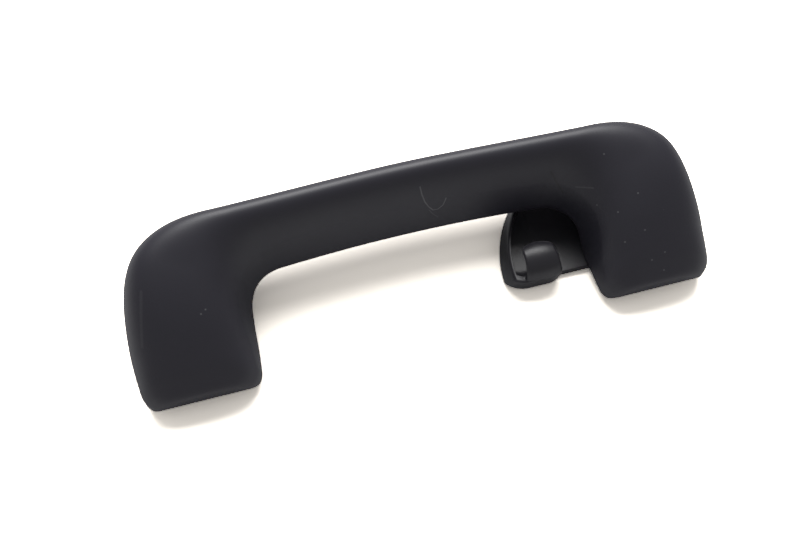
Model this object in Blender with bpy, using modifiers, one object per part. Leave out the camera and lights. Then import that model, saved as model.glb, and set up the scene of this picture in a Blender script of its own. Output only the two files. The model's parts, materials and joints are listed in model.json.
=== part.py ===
"""Fold-down roof grab handle with a coat hook.

The grip is one moulding: two broad hollow legs and a slimmer bar, lofted along one side profile.
Each leg turns on a steel pin that a bearing bracket on the roof carries. The left bracket holds the
return spring. The right bracket holds the rotary damper, and its tray carries the coat hook.

X runs along the handle, +Y from the feet to the bar, +Z away from the roof. The origin lies on the
roof plane, in the middle of the handle's length and depth. All sizes are in metres.
"""
import math

import bmesh
import bpy
from mathutils import Vector

# Handle outline, seen from the front
HANDLE_LENGTH = 0.2400
HANDLE_DEPTH = 0.0716
LEG_WIDTH = 0.0452
BAR_DEPTH = 0.0273
FOOT_TAPER = 0.0030
WIDEST_AT = 0.0248
CORNER_REACH = 0.0369
CORNER_DROP = 0.0048
INNER_TAPER = 0.0010
INNER_WAIST_AT = 0.0218
INNER_CORNER_REACH = 0.0173
INNER_CORNER_DROP = 0.0011
OUTER_TANGENT = 0.053
INNER_TANGENT = 0.053
OUTER_FULLNESS = 0.75
INNER_FULLNESS = 0.56
OUTER_WAIST_PULL = 0.55
INNER_WAIST_PULL = 0.5

# Side profile and section of the grip
CREST_HEIGHT = 0.0520
FOOT_HEIGHT = 0.0137
PROFILE_REACH = 0.0725
PROFILE_POWER = 1.90
BAR_CLEARANCE = 0.0116
BAR_RISE = 0.0004
RIM_HEIGHT = 0.0042
DRAFT_START = 0.0080
OUTER_DRAFT = 0.192
INNER_DRAFT = 0.143
LEG_OUTER_RADIUS = 0.0115
LEG_INNER_RADIUS = 0.0105
BAR_BACK_RADIUS = 0.0120
BAR_FRONT_RADIUS = 0.0140
BAR_UNDER_RADIUS = 0.0080
RIM_RADIUS = 0.0005
FACE_CROWN = 0.0015
FOOT_CORNER_RADIUS = 0.0067
FOOT_BLEND = 0.0016
FOOT_BLEND_FULL_AT = 0.0030

# Hinge
HINGE_HEIGHT = 0.0110
ROOF_CLEARANCE = 0.00015
FOOT_FACET_ANGLE = math.radians(10)
FOOT_LAST_ANGLE = math.radians(62)
PIN_RADIUS = 0.0025
PIN_CHAMFER = 0.0004
BUSH_WALL = 0.0010
BUSH_FLANGE_RADIUS = 0.0055
BUSH_FLANGE = 0.0010
BUSH_DEPTH = 0.0038
GAP = 0.0003

# Pocket in each leg
SIDE_WALL = 0.0028
FACE_WALL = 0.0022
END_WALL = 0.0024
POCKET_DEPTH = 0.0510
POCKET_LAST_ANGLE = math.radians(70)
POCKET_FOOT_RADIUS = 0.0060
POCKET_FAR_RADIUS = 0.0100
BOSS_STAND = 0.0033
BOSS_RADIUS = 0.0070
PIN_SKIN = 0.0014
RIB_AT = 0.0460
RIB_THICKNESS = 0.0024
LEDGE_RADIUS = 0.0068
LEDGE_FROM = math.radians(193)
LEDGE_TO = math.radians(205)
RELIEF_ANGLE = math.radians(215)

# Bearing brackets
PLATE_THICKNESS = 0.0034
PLATE_WIDTH = 0.0340
PLATE_FRONT = 0.0187
PLATE_BACK = 0.0495
PLATE_CORNER = 0.0030
EAR_THICKNESS = 0.0040
EAR_RADIUS = 0.0065
EAR_WEB_FRONT = 0.0232
EAR_WEB_BACK = 0.0400
EAR_UNDERCUT = math.radians(-33.7)
BRIDGE_FRONT = 0.0202
BRIDGE_DEPTH = 0.0035
BRIDGE_TOP = 0.0120
SCREW_BOSS_AT = 0.0315
SCREW_BOSS_RADIUS = 0.0085
SCREW_BOSS_HEIGHT = 0.0130
SCREW_HEAD_RADIUS = 0.0068
SCREW_SEAT_HEIGHT = 0.0093
SLEEVE_RADIUS = 0.0050
SLEEVE_WALL = 0.0017
COVER_RADIUS = 0.0084
COVER_THICKNESS = 0.0016
COVER_SKIRT_DEPTH = 0.0026
COVER_SKIRT_WALL = 0.0012
BUFFER_RADIUS = 0.0030
BUFFER_STEM_RADIUS = 0.0017
BUFFER_HEIGHT = 0.0053

# Return spring
WIRE_RADIUS = 0.0007
COIL_RADIUS = 0.0040
SPRING_PLAY = 0.0033
SPRING_END_GAP = 0.0007
COIL_TURNS = 8
SPRING_TAIL_ANGLE = math.radians(213.5)
SPRING_TAIL_BEND = 0.0050
SPRING_TAIL_REACH = 0.0076
SPRING_ARM_REACH = 0.0150

# Rotary damper
DAMPER_RADIUS = 0.0062
DAMPER_WALL = 0.0010
DAMPER_FLOOR = 0.0015
DAMPER_PLAY = 0.0025
DAMPER_LID = 0.0014
ROTOR_SHAFT_WALL = 0.0010
SEAL_RADIUS = 0.0005
DRIVE_ARM_REACH = 0.0080
DRIVE_ARM_FROM = math.radians(207.5)
DRIVE_ARM_TO = math.radians(227)
DRIVE_ARM_THICKNESS = 0.0030
KEY_REACH = 0.0125
KEY_THICKNESS = 0.0027
KEY_WIDTH = 0.0060

# Coat hook and its tray
FLANK_INSET = 0.0322
FLANK_AT = 0.0194
FLANK_RADIUS = 0.0530
FLANK_LEAN = 0.0024
FLANK_POWER = 1.5
RIDGE_HEIGHT = 0.0105
RIDGE_WIDTH = 0.0037
RIDGE_EDGE = 0.0008
NOSE_AT = 0.0148
NOSE_FULL_HEIGHT = 0.0056
NOSE_UNDERCUT = 0.0020
NOSE_LEFT_RADIUS = 0.0130
NOSE_RIGHT_RADIUS = 0.0070
NOSE_FLAT = 0.0085
HOOK_SIDE_INSET = 0.0620
NOSE_TURN = 0.0055
NOSE_TURN_LIMIT = 0.95
HOOK_RADIUS = 0.0092
HOOK_HEIGHT = 0.0192
HOOK_WALL = 0.0031
TROUGH_STEP = 0.0002
TIP_THICKNESS = 0.0022
ROOT_ANGLE = math.radians(232)
TIP_ANGLE = math.radians(56)
TONGUE_ROOT_WIDTH = 0.0165
TONGUE_TIP_WIDTH = 0.0135
TONGUE_SHIFT = 0.0012
TONGUE_CORNER = 0.0034
TONGUE_CORNER_DEPTH = 0.0026
TONGUE_EDGE = 0.0011
TONGUE_CROWN = 0.0007
TRAY_BACK = 0.0525

# Facets
ROUND_STEPS = 24
HOOK_STEPS = 6
TONGUE_STATIONS = 12
TONGUE_CROWDING = 1.3
CORNER_STEPS = 5
CROWN_STEPS = 5
LEG_STATIONS = 8
CORNER_STATIONS = 14
BAR_STATIONS = 9
FOOT_STATIONS = 6
WELD_DISTANCE = 0.000002

# Values that follow from the driving dimensions
BAR_BACK_LEAN = (BAR_CLEARANCE + BAR_RISE + BAR_UNDER_RADIUS - DRAFT_START) * OUTER_DRAFT
FOOT_Y = -(HANDLE_DEPTH - BAR_BACK_LEAN) / 2
FOOT_SWEEP = HINGE_HEIGHT - ROOF_CLEARANCE
HINGE_SETBACK = FOOT_SWEEP * math.cos(FOOT_FACET_ANGLE)
HINGE_Y = FOOT_Y + HINGE_SETBACK
POCKET_SWEEP = FOOT_SWEEP - END_WALL
LEG_CENTRE = HANDLE_LENGTH / 2 - FOOT_TAPER / 2 - LEG_WIDTH / 2
BUSH_RADIUS = PIN_RADIUS + GAP + BUSH_WALL
BUSH_BORE = BUSH_RADIUS + GAP
BOSS_SPAN = LEG_WIDTH - 2 * (SIDE_WALL + BOSS_STAND)
EAR_OUTER = BOSS_SPAN / 2 - 2 * GAP - BUSH_FLANGE
EAR_INNER = EAR_OUTER - EAR_THICKNESS
COIL_PITCH = (2 * EAR_INNER - SPRING_PLAY - 2 * WIRE_RADIUS) / (COIL_TURNS + 1)
DAMPER_LENGTH = 2 * EAR_INNER - 3 * GAP - DAMPER_LID - DRIVE_ARM_THICKNESS - DAMPER_PLAY


def from_foot(distance):
    """World Y of a place that lies this far from the end of the feet."""
    return FOOT_Y + distance


def make_collections():
    scene = bpy.context.scene
    for old in list(bpy.data.objects):
        bpy.data.objects.remove(old, do_unlink=True)
    parts = bpy.data.collections.new("roof_grab_handle")
    cutters = bpy.data.collections.new("cutters")
    scene.collection.children.link(parts)
    scene.collection.children.link(cutters)
    return parts, cutters


PARTS, CUTTERS = make_collections()


def make_material(name, colour, roughness, metallic=0.0):
    material = bpy.data.materials.new(name)
    material.use_nodes = True
    shader = material.node_tree.nodes["Principled BSDF"]
    shader.inputs["Base Color"].default_value = (*colour, 1.0)
    shader.inputs["Roughness"].default_value = roughness
    shader.inputs["Metallic"].default_value = metallic
    return material


def add_object(name, data, material=None, helper=False):
    """Link new data as a part, or as a helper that is not part of the product."""
    item = bpy.data.objects.new(name, data)
    (CUTTERS if helper else PARTS).objects.link(item)
    if helper:
        item.hide_render = True
        item.display_type = "WIRE"
    if material:
        item.data.materials.append(material)
    return item


def boolean(target, tool, operation):
    cut = target.modifiers.new(tool.name, "BOOLEAN")
    cut.operation = operation
    cut.solver = "EXACT"
    cut.object = tool
    weld(target)
    return target


def triangulate(target):
    """Flat faces before a cut: the skin between two rings is not quite flat."""
    target.modifiers.new("flat faces", "TRIANGULATE")


def weld(target):
    """Merge the doubled vertices that a cut can leave."""
    merge = target.modifiers.new("weld", "WELD")
    merge.merge_threshold = WELD_DISTANCE


def mesh_from(name, vertices, faces):
    mesh = bpy.data.meshes.new(name)
    mesh.from_pydata([tuple(v) for v in vertices], [], faces)
    mesh.update()
    return mesh


def shade(item, angle=math.radians(35)):
    item.data.shade_smooth()
    item.data.set_sharp_from_angle(angle=angle)
    return item


def loft(name, rings, cap_end, helper=False, material=None):
    """Skin a list of rings of equal length. The first ring is always capped."""
    count = len(rings[0])
    vertices = [point for ring in rings for point in ring]
    faces = [list(range(count))[::-1]]
    for r in range(len(rings) - 1):
        for k in range(count):
            a = r * count + k
            b = r * count + (k + 1) % count
            faces.append([a, b, b + count, a + count])
    if cap_end:
        last = (len(rings) - 1) * count
        faces.append([last + k for k in range(count)])
    return add_object(name, mesh_from(name, vertices, faces), material, helper)


def prism_x(name, outline, x_low, x_high, helper=True, material=None):
    """A solid with a (y, z) outline, anticlockwise seen from +X, between two places along X."""
    count = len(outline)
    vertices = [(x_low, y, z) for y, z in outline] + [(x_high, y, z) for y, z in outline]
    faces = [list(range(count))[::-1], [count + k for k in range(count)]]
    for k in range(count):
        n = (k + 1) % count
        faces.append([k, n, count + n, count + k])
    return add_object(name, mesh_from(name, vertices, faces), material, helper)


def block(name, low, high, bevel=0.0, helper=True, material=None):
    """A box between two corners, with its upright edges rounded."""
    low, high = Vector(low), Vector(high)
    mesh = bpy.data.meshes.new(name)
    bm = bmesh.new()
    bmesh.ops.create_cube(bm, size=1.0)
    bmesh.ops.scale(bm, vec=high - low, verts=bm.verts)
    bmesh.ops.translate(bm, vec=(high + low) / 2, verts=bm.verts)
    if bevel:
        upright = [e for e in bm.edges if abs(e.verts[0].co.z - e.verts[1].co.z) > 1e-6]
        bmesh.ops.bevel(bm, geom=upright, offset=bevel, segments=4, profile=0.5, affect="EDGES")
    bm.to_mesh(mesh)
    bm.free()
    return add_object(name, mesh, material, helper)


def turned(name, profile, origin, along="X", closed=False, helper=False, material=None):
    """A turned solid. The profile is (radius, offset) from the far end to the near end of its outer side."""
    vertices = [(radius, 0.0, offset) for radius, offset in profile]
    edges = [(k, k + 1) for k in range(len(profile) - 1)]
    if closed:
        edges.append((len(profile) - 1, 0))
    mesh = bpy.data.meshes.new(name)
    mesh.from_pydata(vertices, edges, [])
    item = add_object(name, mesh, material, helper)
    item.location = origin
    if along == "X":
        item.rotation_euler = (0.0, math.radians(90), 0.0)
    screw = item.modifiers.new("turn", "SCREW")
    screw.steps = ROUND_STEPS
    screw.render_steps = ROUND_STEPS
    screw.use_merge_vertices = True
    screw.merge_threshold = 0.00001
    screw.use_smooth_shade = True
    return item


def rod(name, radius, low, high, origin, along="X", helper=True, material=None, chamfer=0.0):
    """A solid round bar between two offsets along its axis."""
    profile = [(0.0, high), (radius - chamfer, high), (radius, high - chamfer)]
    profile += [(radius, low + chamfer), (radius - chamfer, low), (0.0, low)]
    if not chamfer:
        profile = [(0.0, high), (radius, high), (radius, low), (0.0, low)]
    return turned(name, profile, origin, along, helper=helper, material=material)


def ring(name, outer, inner, low, high, origin, along="X", helper=False, material=None):
    """A plain tube between two offsets along its axis."""
    profile = [(outer, high), (outer, low), (inner, low), (inner, high)]
    return turned(name, profile, origin, along, closed=True, helper=helper, material=material)


def sector(name, inner, outer, start, stop, x_low, x_high, steps=6):
    """A piece of a ring round the hinge axis, between two angles."""
    angles = [start + (stop - start) * k / steps for k in range(steps + 1)]
    outline = [(HINGE_Y + outer * math.cos(a), HINGE_HEIGHT + outer * math.sin(a)) for a in angles]
    outline += [(HINGE_Y + inner * math.cos(a), HINGE_HEIGHT + inner * math.sin(a)) for a in angles[::-1]]
    return prism_x(name, outline, x_low, x_high)


def bezier(p0, p1, p2, p3, steps, include_end=False):
    points = []
    for k in range(steps + (1 if include_end else 0)):
        t = k / steps
        s = 1 - t
        points.append(p0 * s**3 + p1 * 3 * s * s * t + p2 * 3 * s * t * t + p3 * t**3)
    return points


def grip_edge(foot, waist, shoulder, crown, tangent, fullness, waist_pull):
    """One edge of the grip, seen from the front: foot, leg, corner, then the bar to its middle."""
    lean = waist - foot
    leg = bezier(foot, foot + Vector((lean.x * waist_pull, lean.y * 0.4)), waist - Vector((0, lean.y * 0.35)),
                 waist, LEG_STATIONS)
    turn = shoulder - waist
    along = Vector((math.cos(tangent), math.sin(tangent)))
    corner = bezier(waist, waist + Vector((0, turn.y * fullness)), shoulder - along * turn.x * fullness,
                    shoulder, CORNER_STATIONS)
    reach = (crown.x - shoulder.x) / 3
    bar = bezier(shoulder, shoulder + along * reach, crown - Vector((reach, 0)), crown, BAR_STATIONS, True)
    return leg + corner + bar


def outer_edge():
    half = HANDLE_LENGTH / 2
    return grip_edge(
        Vector((-half + FOOT_TAPER, 0.0)),
        Vector((-half, WIDEST_AT)),
        Vector((-half + CORNER_REACH, HANDLE_DEPTH - CORNER_DROP)),
        Vector((0.0, HANDLE_DEPTH)),
        OUTER_TANGENT, OUTER_FULLNESS, OUTER_WAIST_PULL)


def inner_edge():
    foot_x = -HANDLE_LENGTH / 2 + FOOT_TAPER + LEG_WIDTH
    depth = HANDLE_DEPTH - BAR_DEPTH
    return grip_edge(
        Vector((foot_x, 0.0)),
        Vector((foot_x + INNER_TAPER, INNER_WAIST_AT)),
        Vector((foot_x + INNER_TAPER + INNER_CORNER_REACH, depth - INNER_CORNER_DROP)),
        Vector((0.0, depth)),
        INNER_TANGENT, INNER_FULLNESS, INNER_WAIST_PULL)


def edge_x(edge, distance):
    """X of an edge at a distance from the feet, read along its leg."""
    for a, b in zip(edge, edge[1:]):
        if a.y <= distance <= b.y:
            return a.x + (b.x - a.x) * (distance - a.y) / (b.y - a.y)
    return edge[0].x if distance < edge[0].y else edge[-1].x


def face_height(distance):
    """Height of the grip's face over the roof, as its side profile has it."""
    share = min(max(distance / PROFILE_REACH, 0.0), 1.0)
    return FOOT_HEIGHT + (CREST_HEIGHT - FOOT_HEIGHT) * (1 - (1 - share) ** PROFILE_POWER)


def sweep_half_height(distance, radius):
    """Half the height of a cylinder round the hinge axis at a distance from the feet."""
    across = HINGE_SETBACK - distance
    return math.sqrt(max(radius * radius - across * across, 0.0))


def foot_top(distance):
    """Face height with the foot's rounding round the hinge blended in."""
    face = face_height(distance)
    if distance >= HINGE_SETBACK:
        return face
    arc = HINGE_HEIGHT + sweep_half_height(distance, FOOT_SWEEP)
    lowest = min(face, arc)
    fade = ease((HINGE_SETBACK - distance) / (HINGE_SETBACK - FOOT_BLEND_FULL_AT))
    return lowest - fade * FOOT_BLEND * math.log(1 + math.exp(-abs(face - arc) / FOOT_BLEND))


def foot_bottom(distance):
    """Height of the rim, tucked up round the hinge at the end of the foot."""
    if distance >= HINGE_SETBACK:
        return RIM_HEIGHT
    return max(RIM_HEIGHT, HINGE_HEIGHT - sweep_half_height(distance, FOOT_SWEEP))


def corner_cut(distance):
    """How far the foot's rounded corner pulls each side in."""
    if distance >= FOOT_CORNER_RADIUS:
        return 0.0
    share = 1 - distance / FOOT_CORNER_RADIUS
    return FOOT_CORNER_RADIUS * (1 - math.sqrt(1 - share * share))


def blend(start, end, share):
    return start + (end - start) * share


def ease(share):
    share = min(max(share, 0.0), 1.0)
    return share * share * (3 - 2 * share)


def arc_points(a, z, radius, start, stop):
    angles = [blend(start, stop, k / CORNER_STEPS) for k in range(CORNER_STEPS + 1)]
    return [(a + radius * math.cos(t), z + radius * math.sin(t)) for t in angles]


def section(width, top_outer, top_inner, bottom, outer_radius, inner_radius, under_radius, crown):
    """Section of the grip: (distance from its outer side, height), clockwise with the outer side left."""
    low_side = min(top_outer, top_inner) - bottom
    outer_radius = min(outer_radius, width * 0.5, low_side * 0.5)
    inner_radius = min(inner_radius, width * 0.5, low_side * 0.5)
    under_radius = min(under_radius, width * 0.49, low_side * 0.44)
    tilt = math.atan2(top_outer - top_inner, width)
    upward = math.pi / 2 - tilt

    def top(a):
        return top_outer - (top_outer - top_inner) * a / width

    outer_centre = (outer_radius, top(outer_radius) - outer_radius / math.cos(tilt))
    inner_centre = (width - inner_radius, top(width - inner_radius) - inner_radius / math.cos(tilt))
    first = arc_points(*outer_centre, outer_radius, math.pi, upward)
    second = arc_points(*inner_centre, inner_radius, upward, 0.0)
    start, stop = first[-1], second[0]
    between = [
        (blend(start[0], stop[0], k / CROWN_STEPS), blend(start[1], stop[1], k / CROWN_STEPS))
        for k in range(1, CROWN_STEPS)
    ]
    upper = first + between + second
    middle = (outer_centre[1] + inner_centre[1]) / 2
    crowned = []
    for a, z in upper:
        rise = crown * (1 - (2 * a / width - 1) ** 2)
        crowned.append((a, z + rise * ease((z - middle) / (max(outer_radius, 1e-5)))))
    lower = arc_points(width - under_radius, bottom + under_radius, under_radius, 0.0, -math.pi / 2)
    lower += arc_points(under_radius, bottom + under_radius, under_radius, -math.pi / 2, -math.pi)
    return crowned + lower


def lean_in(a, z, width):
    """Draft: above the rim both sides lean in."""
    above = max(z - DRAFT_START, 0.0)
    middle = width / 2
    if a < middle:
        return a + above * OUTER_DRAFT * (1 - a / middle)
    return a - above * INNER_DRAFT * (a / middle - 1)


def placed_ring(outer, inner, outline):
    """Put a section between a point of the outer edge and one of the inner edge."""
    across = inner - outer
    width = across.length
    across.normalize()
    points = []
    for a, z in outline:
        a = lean_in(a, z, width)
        points.append((outer.x + across.x * a, from_foot(outer.y + across.y * a), z))
    return points


def foot_rings(outer, inner):
    """Rings from the end of the foot to the hinge, rounded round the hinge axis."""
    rings = []
    for k in range(FOOT_STATIONS):
        angle = blend(FOOT_FACET_ANGLE, FOOT_LAST_ANGLE, k / (FOOT_STATIONS - 1))
        distance = HINGE_SETBACK - FOOT_SWEEP * math.cos(angle)
        cut = corner_cut(distance)
        a = Vector((edge_x(outer, distance) + cut, distance))
        b = Vector((edge_x(inner, distance) - cut, distance))
        outline = section((b - a).length, foot_top(distance), foot_top(distance), foot_bottom(distance),
                          LEG_OUTER_RADIUS, LEG_INNER_RADIUS, RIM_RADIUS, FACE_CROWN)
        rings.append(placed_ring(a, b, outline))
    return rings, distance


def grip_rings():
    """Rings of the left half of the grip, from the foot to the middle of the bar."""
    outer, inner = outer_edge(), inner_edge()
    rings, reached = foot_rings(outer, inner)
    bar_begins = HANDLE_DEPTH - CORNER_DROP
    for a, b in zip(outer, inner):
        if min(a.y, b.y) <= reached * 1.05:
            continue
        share = ease((a.y - WIDEST_AT) / (bar_begins - WIDEST_AT))
        rise = BAR_RISE * (1 - (2 * a.x / HANDLE_LENGTH) ** 2)
        bottom = blend(foot_bottom(a.y), BAR_CLEARANCE + rise, share)
        outline = section(
            (b - a).length, foot_top(a.y) + rise, foot_top(b.y) + rise, bottom,
            blend(LEG_OUTER_RADIUS, BAR_BACK_RADIUS, share),
            blend(LEG_INNER_RADIUS, BAR_FRONT_RADIUS, share),
            blend(RIM_RADIUS, BAR_UNDER_RADIUS, share), FACE_CROWN)
        rings.append(placed_ring(a, b, outline))
    return rings


def pocket_rings(side):
    """Rings of the hollow in one leg, open at the back. Side is -1 for the left leg, 1 for the right."""
    outer, inner = outer_edge(), inner_edge()
    inner_limit = inner[0].x - SIDE_WALL
    places = []
    for k in range(FOOT_STATIONS):
        angle = blend(FOOT_FACET_ANGLE, POCKET_LAST_ANGLE, k / (FOOT_STATIONS - 1))
        places.append(HINGE_SETBACK - POCKET_SWEEP * math.cos(angle))
    for k in range(1, LEG_STATIONS + 1):
        places.append(blend(places[FOOT_STATIONS - 1], POCKET_DEPTH, k / LEG_STATIONS))
    rings = []
    for distance in places:
        top = face_height(distance) - FACE_WALL
        if distance < HINGE_SETBACK:
            top = min(top, HINGE_HEIGHT + sweep_half_height(distance, POCKET_SWEEP))
        a = Vector((edge_x(outer, distance) + SIDE_WALL, distance))
        b = Vector((min(edge_x(inner, distance) - SIDE_WALL, inner_limit), distance))
        radius = blend(POCKET_FOOT_RADIUS, POCKET_FAR_RADIUS, distance / POCKET_DEPTH)
        outline = section((b - a).length, top, top, -RIM_HEIGHT, radius, radius, RIM_RADIUS, 0.0)
        ring_points = placed_ring(a, b, outline)
        if side > 0:
            ring_points = [(-x, y, z) for x, y, z in ring_points[::-1]]
        rings.append(ring_points)
    return rings


def pocket_cutter(side, word):
    """The hollow of one leg and its bores, less the bosses, the rib and the ledge that stay in it."""
    centre = side * LEG_CENTRE
    axis = (centre, HINGE_Y, HINGE_HEIGHT)
    pocket = loft(f"{word}_pocket", pocket_rings(side), cap_end=True, helper=True)
    triangulate(pocket)
    wide = BOSS_SPAN
    for end, name in ((-1, "low"), (1, "high")):
        near, far = sorted((end * BOSS_SPAN / 2, end * wide))
        boss = rod(f"{word}_boss_{name}", BOSS_RADIUS, near, far, axis)
        boolean(pocket, boss, "DIFFERENCE")
    rib = block(f"{word}_rib",
                (centre - wide, from_foot(RIB_AT - RIB_THICKNESS / 2), rib_bottom()),
                (centre + wide, from_foot(RIB_AT + RIB_THICKNESS / 2), CREST_HEIGHT))
    boolean(pocket, rib, "DIFFERENCE")
    ledge = sector(f"{word}_ledge", LEDGE_RADIUS, FOOT_SWEEP, LEDGE_FROM, LEDGE_TO,
                   centre - EAR_INNER, centre + EAR_INNER)
    boolean(pocket, ledge, "DIFFERENCE")
    boolean(pocket, relief_cutter(side, word), "UNION")
    boolean(pocket, turned(f"{word}_bush_seats", bush_seats(), axis, helper=True), "UNION")
    entry = sorted((0.0, side * (BOSS_SPAN / 2 + LEG_WIDTH / 2)))
    boolean(pocket, rod(f"{word}_pin_hole", PIN_RADIUS + GAP, entry[0], entry[1], axis), "UNION")
    return pocket


def bush_seats():
    """Profile of both bush bores with room for the flanges between them."""
    reach = BOSS_SPAN / 2 + BUSH_DEPTH + GAP
    face = BOSS_SPAN / 2
    room = BUSH_FLANGE_RADIUS + GAP
    return [(0.0, reach), (BUSH_BORE, reach), (BUSH_BORE, face), (room, face),
            (room, -face), (BUSH_BORE, -face), (BUSH_BORE, -reach), (0.0, -reach)]


def rib_bottom():
    return PLATE_THICKNESS + GAP + BUFFER_HEIGHT + GAP


def relief_cutter(side, word):
    """The end wall's lower edge is cut back along a radius, so that it swings clear under the hinge."""
    reach = 2 * HINGE_HEIGHT
    outline = [
        (HINGE_Y, HINGE_HEIGHT),
        (HINGE_Y + reach * math.cos(RELIEF_ANGLE), HINGE_HEIGHT + reach * math.sin(RELIEF_ANGLE)),
        (HINGE_Y + reach * math.cos(RELIEF_ANGLE), -HINGE_HEIGHT),
        (HINGE_Y, -HINGE_HEIGHT),
    ]
    centre = side * LEG_CENTRE
    return prism_x(f"{word}_relief", outline, centre - EAR_INNER - GAP, centre + EAR_INNER + GAP)


def outer_skin(side):
    """X of the leg's outer side at the hinge axis."""
    lean = (HINGE_HEIGHT - DRAFT_START) * OUTER_DRAFT
    return side * (-edge_x(outer_edge(), HINGE_SETBACK) - lean)


def build_grip(material):
    grip = loft("grip", grip_rings(), cap_end=False, material=material)
    mirror = grip.modifiers.new("other half", "MIRROR")
    mirror.use_axis = (True, False, False)
    mirror.merge_threshold = 0.00001
    triangulate(grip)
    for side, word in ((-1, "left"), (1, "right")):
        boolean(grip, pocket_cutter(side, word), "DIFFERENCE")
    return shade(grip)


def ear_outline():
    """Side view of an ear: a round end on the hinge axis and a web down to the plate."""
    plate_top = PLATE_THICKNESS - HINGE_HEIGHT
    back = EAR_WEB_BACK - HINGE_SETBACK
    front = EAR_WEB_FRONT - HINGE_SETBACK
    distance = math.hypot(back, plate_top)
    tangent = math.atan2(plate_top, back) + math.acos(EAR_RADIUS / distance)
    steps = ROUND_STEPS // 2
    outline = []
    for k in range(steps + 1):
        angle = blend(tangent, EAR_UNDERCUT + 2 * math.pi, k / steps)
        outline.append((EAR_RADIUS * math.cos(angle), EAR_RADIUS * math.sin(angle)))
    sunk = plate_top - PLATE_THICKNESS / 2
    outline += [(front, plate_top), (front, sunk), (back, sunk), (back, plate_top)]
    return [(HINGE_Y + y, HINGE_HEIGHT + z) for y, z in outline]


def bracket_base(side, name, material):
    """What both brackets share: plate, two ears, a bridge between them and the screw boss."""
    centre = side * LEG_CENTRE
    axis = (centre, HINGE_Y, HINGE_HEIGHT)
    plate = block(name, (centre - PLATE_WIDTH / 2, from_foot(PLATE_FRONT), 0.0),
                  (centre + PLATE_WIDTH / 2, from_foot(PLATE_BACK), PLATE_THICKNESS),
                  bevel=PLATE_CORNER, helper=False, material=material)
    for end, word in ((-1, "low"), (1, "high")):
        near, far = sorted((centre + end * EAR_INNER, centre + end * EAR_OUTER))
        boolean(plate, prism_x(f"{name}_ear_{word}", ear_outline(), near, far), "UNION")
    half = EAR_INNER + EAR_THICKNESS / 2
    bridge_bottom = HINGE_HEIGHT - COIL_RADIUS + WIRE_RADIUS + GAP
    bridge = block(f"{name}_bridge", (centre - half, from_foot(BRIDGE_FRONT), bridge_bottom),
                   (centre + half, from_foot(BRIDGE_FRONT + BRIDGE_DEPTH), BRIDGE_TOP))
    boolean(plate, bridge, "UNION")
    screw = (centre, from_foot(SCREW_BOSS_AT), 0.0)
    boss = rod(f"{name}_screw_boss", SCREW_BOSS_RADIUS, PLATE_THICKNESS / 2, SCREW_BOSS_HEIGHT, screw, "Z")
    boolean(plate, boss, "UNION")
    return plate, axis, screw


def bracket_holes(plate, axis, screw, name):
    centre = axis[0]
    tall = 2 * SCREW_BOSS_HEIGHT
    bore = rod(f"{name}_pin_bore", PIN_RADIUS + GAP, -BOSS_SPAN / 2, BOSS_SPAN / 2, axis)
    seat = rod(f"{name}_screw_seat", SCREW_HEAD_RADIUS, SCREW_SEAT_HEIGHT, tall, screw, "Z")
    hole = rod(f"{name}_sleeve_hole", SLEEVE_RADIUS + GAP, -tall, tall, screw, "Z")
    stem = (centre, from_foot(RIB_AT), 0.0)
    stem_hole = rod(f"{name}_stem_hole", BUFFER_STEM_RADIUS + GAP, -tall, tall, stem, "Z")
    for cutter in (bore, seat, hole, stem_hole):
        boolean(plate, cutter, "DIFFERENCE")


def build_left_bracket(material):
    bracket, axis, screw = bracket_base(-1, "left_bracket", material)
    bracket_holes(bracket, axis, screw, "left_bracket")
    return bracket


def side_x(inset):
    """X of a place this far in from the handle's right end."""
    return HANDLE_LENGTH / 2 - inset


def crossing(centre_a, radius_a, centre_b, radius_b):
    """Where two circles in plan cross, on their front side."""
    apart = centre_b - centre_a
    distance = apart.length
    along = (distance * distance + radius_a * radius_a - radius_b * radius_b) / (2 * distance)
    off = math.sqrt(radius_a * radius_a - along * along)
    apart.normalize()
    return centre_a + apart * along + Vector((-apart.y, apart.x)) * off


def plan_arc(centre, radius, start, stop, include_end=False):
    """Points on a circle in plan from one place to another, the short way round."""
    low = math.atan2(start.y - centre.y, start.x - centre.x)
    turn = math.atan2(stop.y - centre.y, stop.x - centre.x) - low
    turn -= 2 * math.pi * round(turn / (2 * math.pi))
    count = HOOK_STEPS + (1 if include_end else 0)
    angles = [low + turn * k / HOOK_STEPS for k in range(count)]
    return [centre + Vector((math.cos(a), math.sin(a))) * radius for a in angles]


def hook_plan(flank_inset, nose_inset, nose_shift, right_x):
    """Plan of the hook's base: round flank, corner, round nose, then straight back to the tray's end."""
    flank_centre = Vector((side_x(FLANK_INSET), FLANK_AT))
    flank = FLANK_RADIUS - flank_inset
    turn_x = side_x(HOOK_SIDE_INSET + NOSE_TURN)
    left_centre = Vector((turn_x - NOSE_FLAT, NOSE_AT + NOSE_LEFT_RADIUS + nose_shift))
    right_centre = Vector((turn_x, NOSE_AT + NOSE_RIGHT_RADIUS + nose_shift))
    left, right = NOSE_LEFT_RADIUS - nose_inset, NOSE_RIGHT_RADIUS - nose_inset
    corner = crossing(flank_centre, flank, left_centre, left)
    away = TRAY_BACK - FLANK_AT
    back = Vector((flank_centre.x - math.sqrt(flank * flank - away * away), TRAY_BACK))
    reach = min(NOSE_TURN, right * NOSE_TURN_LIMIT)
    end = right_centre + Vector((reach, -math.sqrt(right * right - reach * reach)))
    plan = plan_arc(flank_centre, flank, back, corner)
    plan += plan_arc(left_centre, left, corner, left_centre - Vector((0, left)), True)
    plan += plan_arc(right_centre, right, right_centre - Vector((0, right)), end, True)
    return plan + [Vector((right_x, end.y)), Vector((right_x, TRAY_BACK))]


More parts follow.
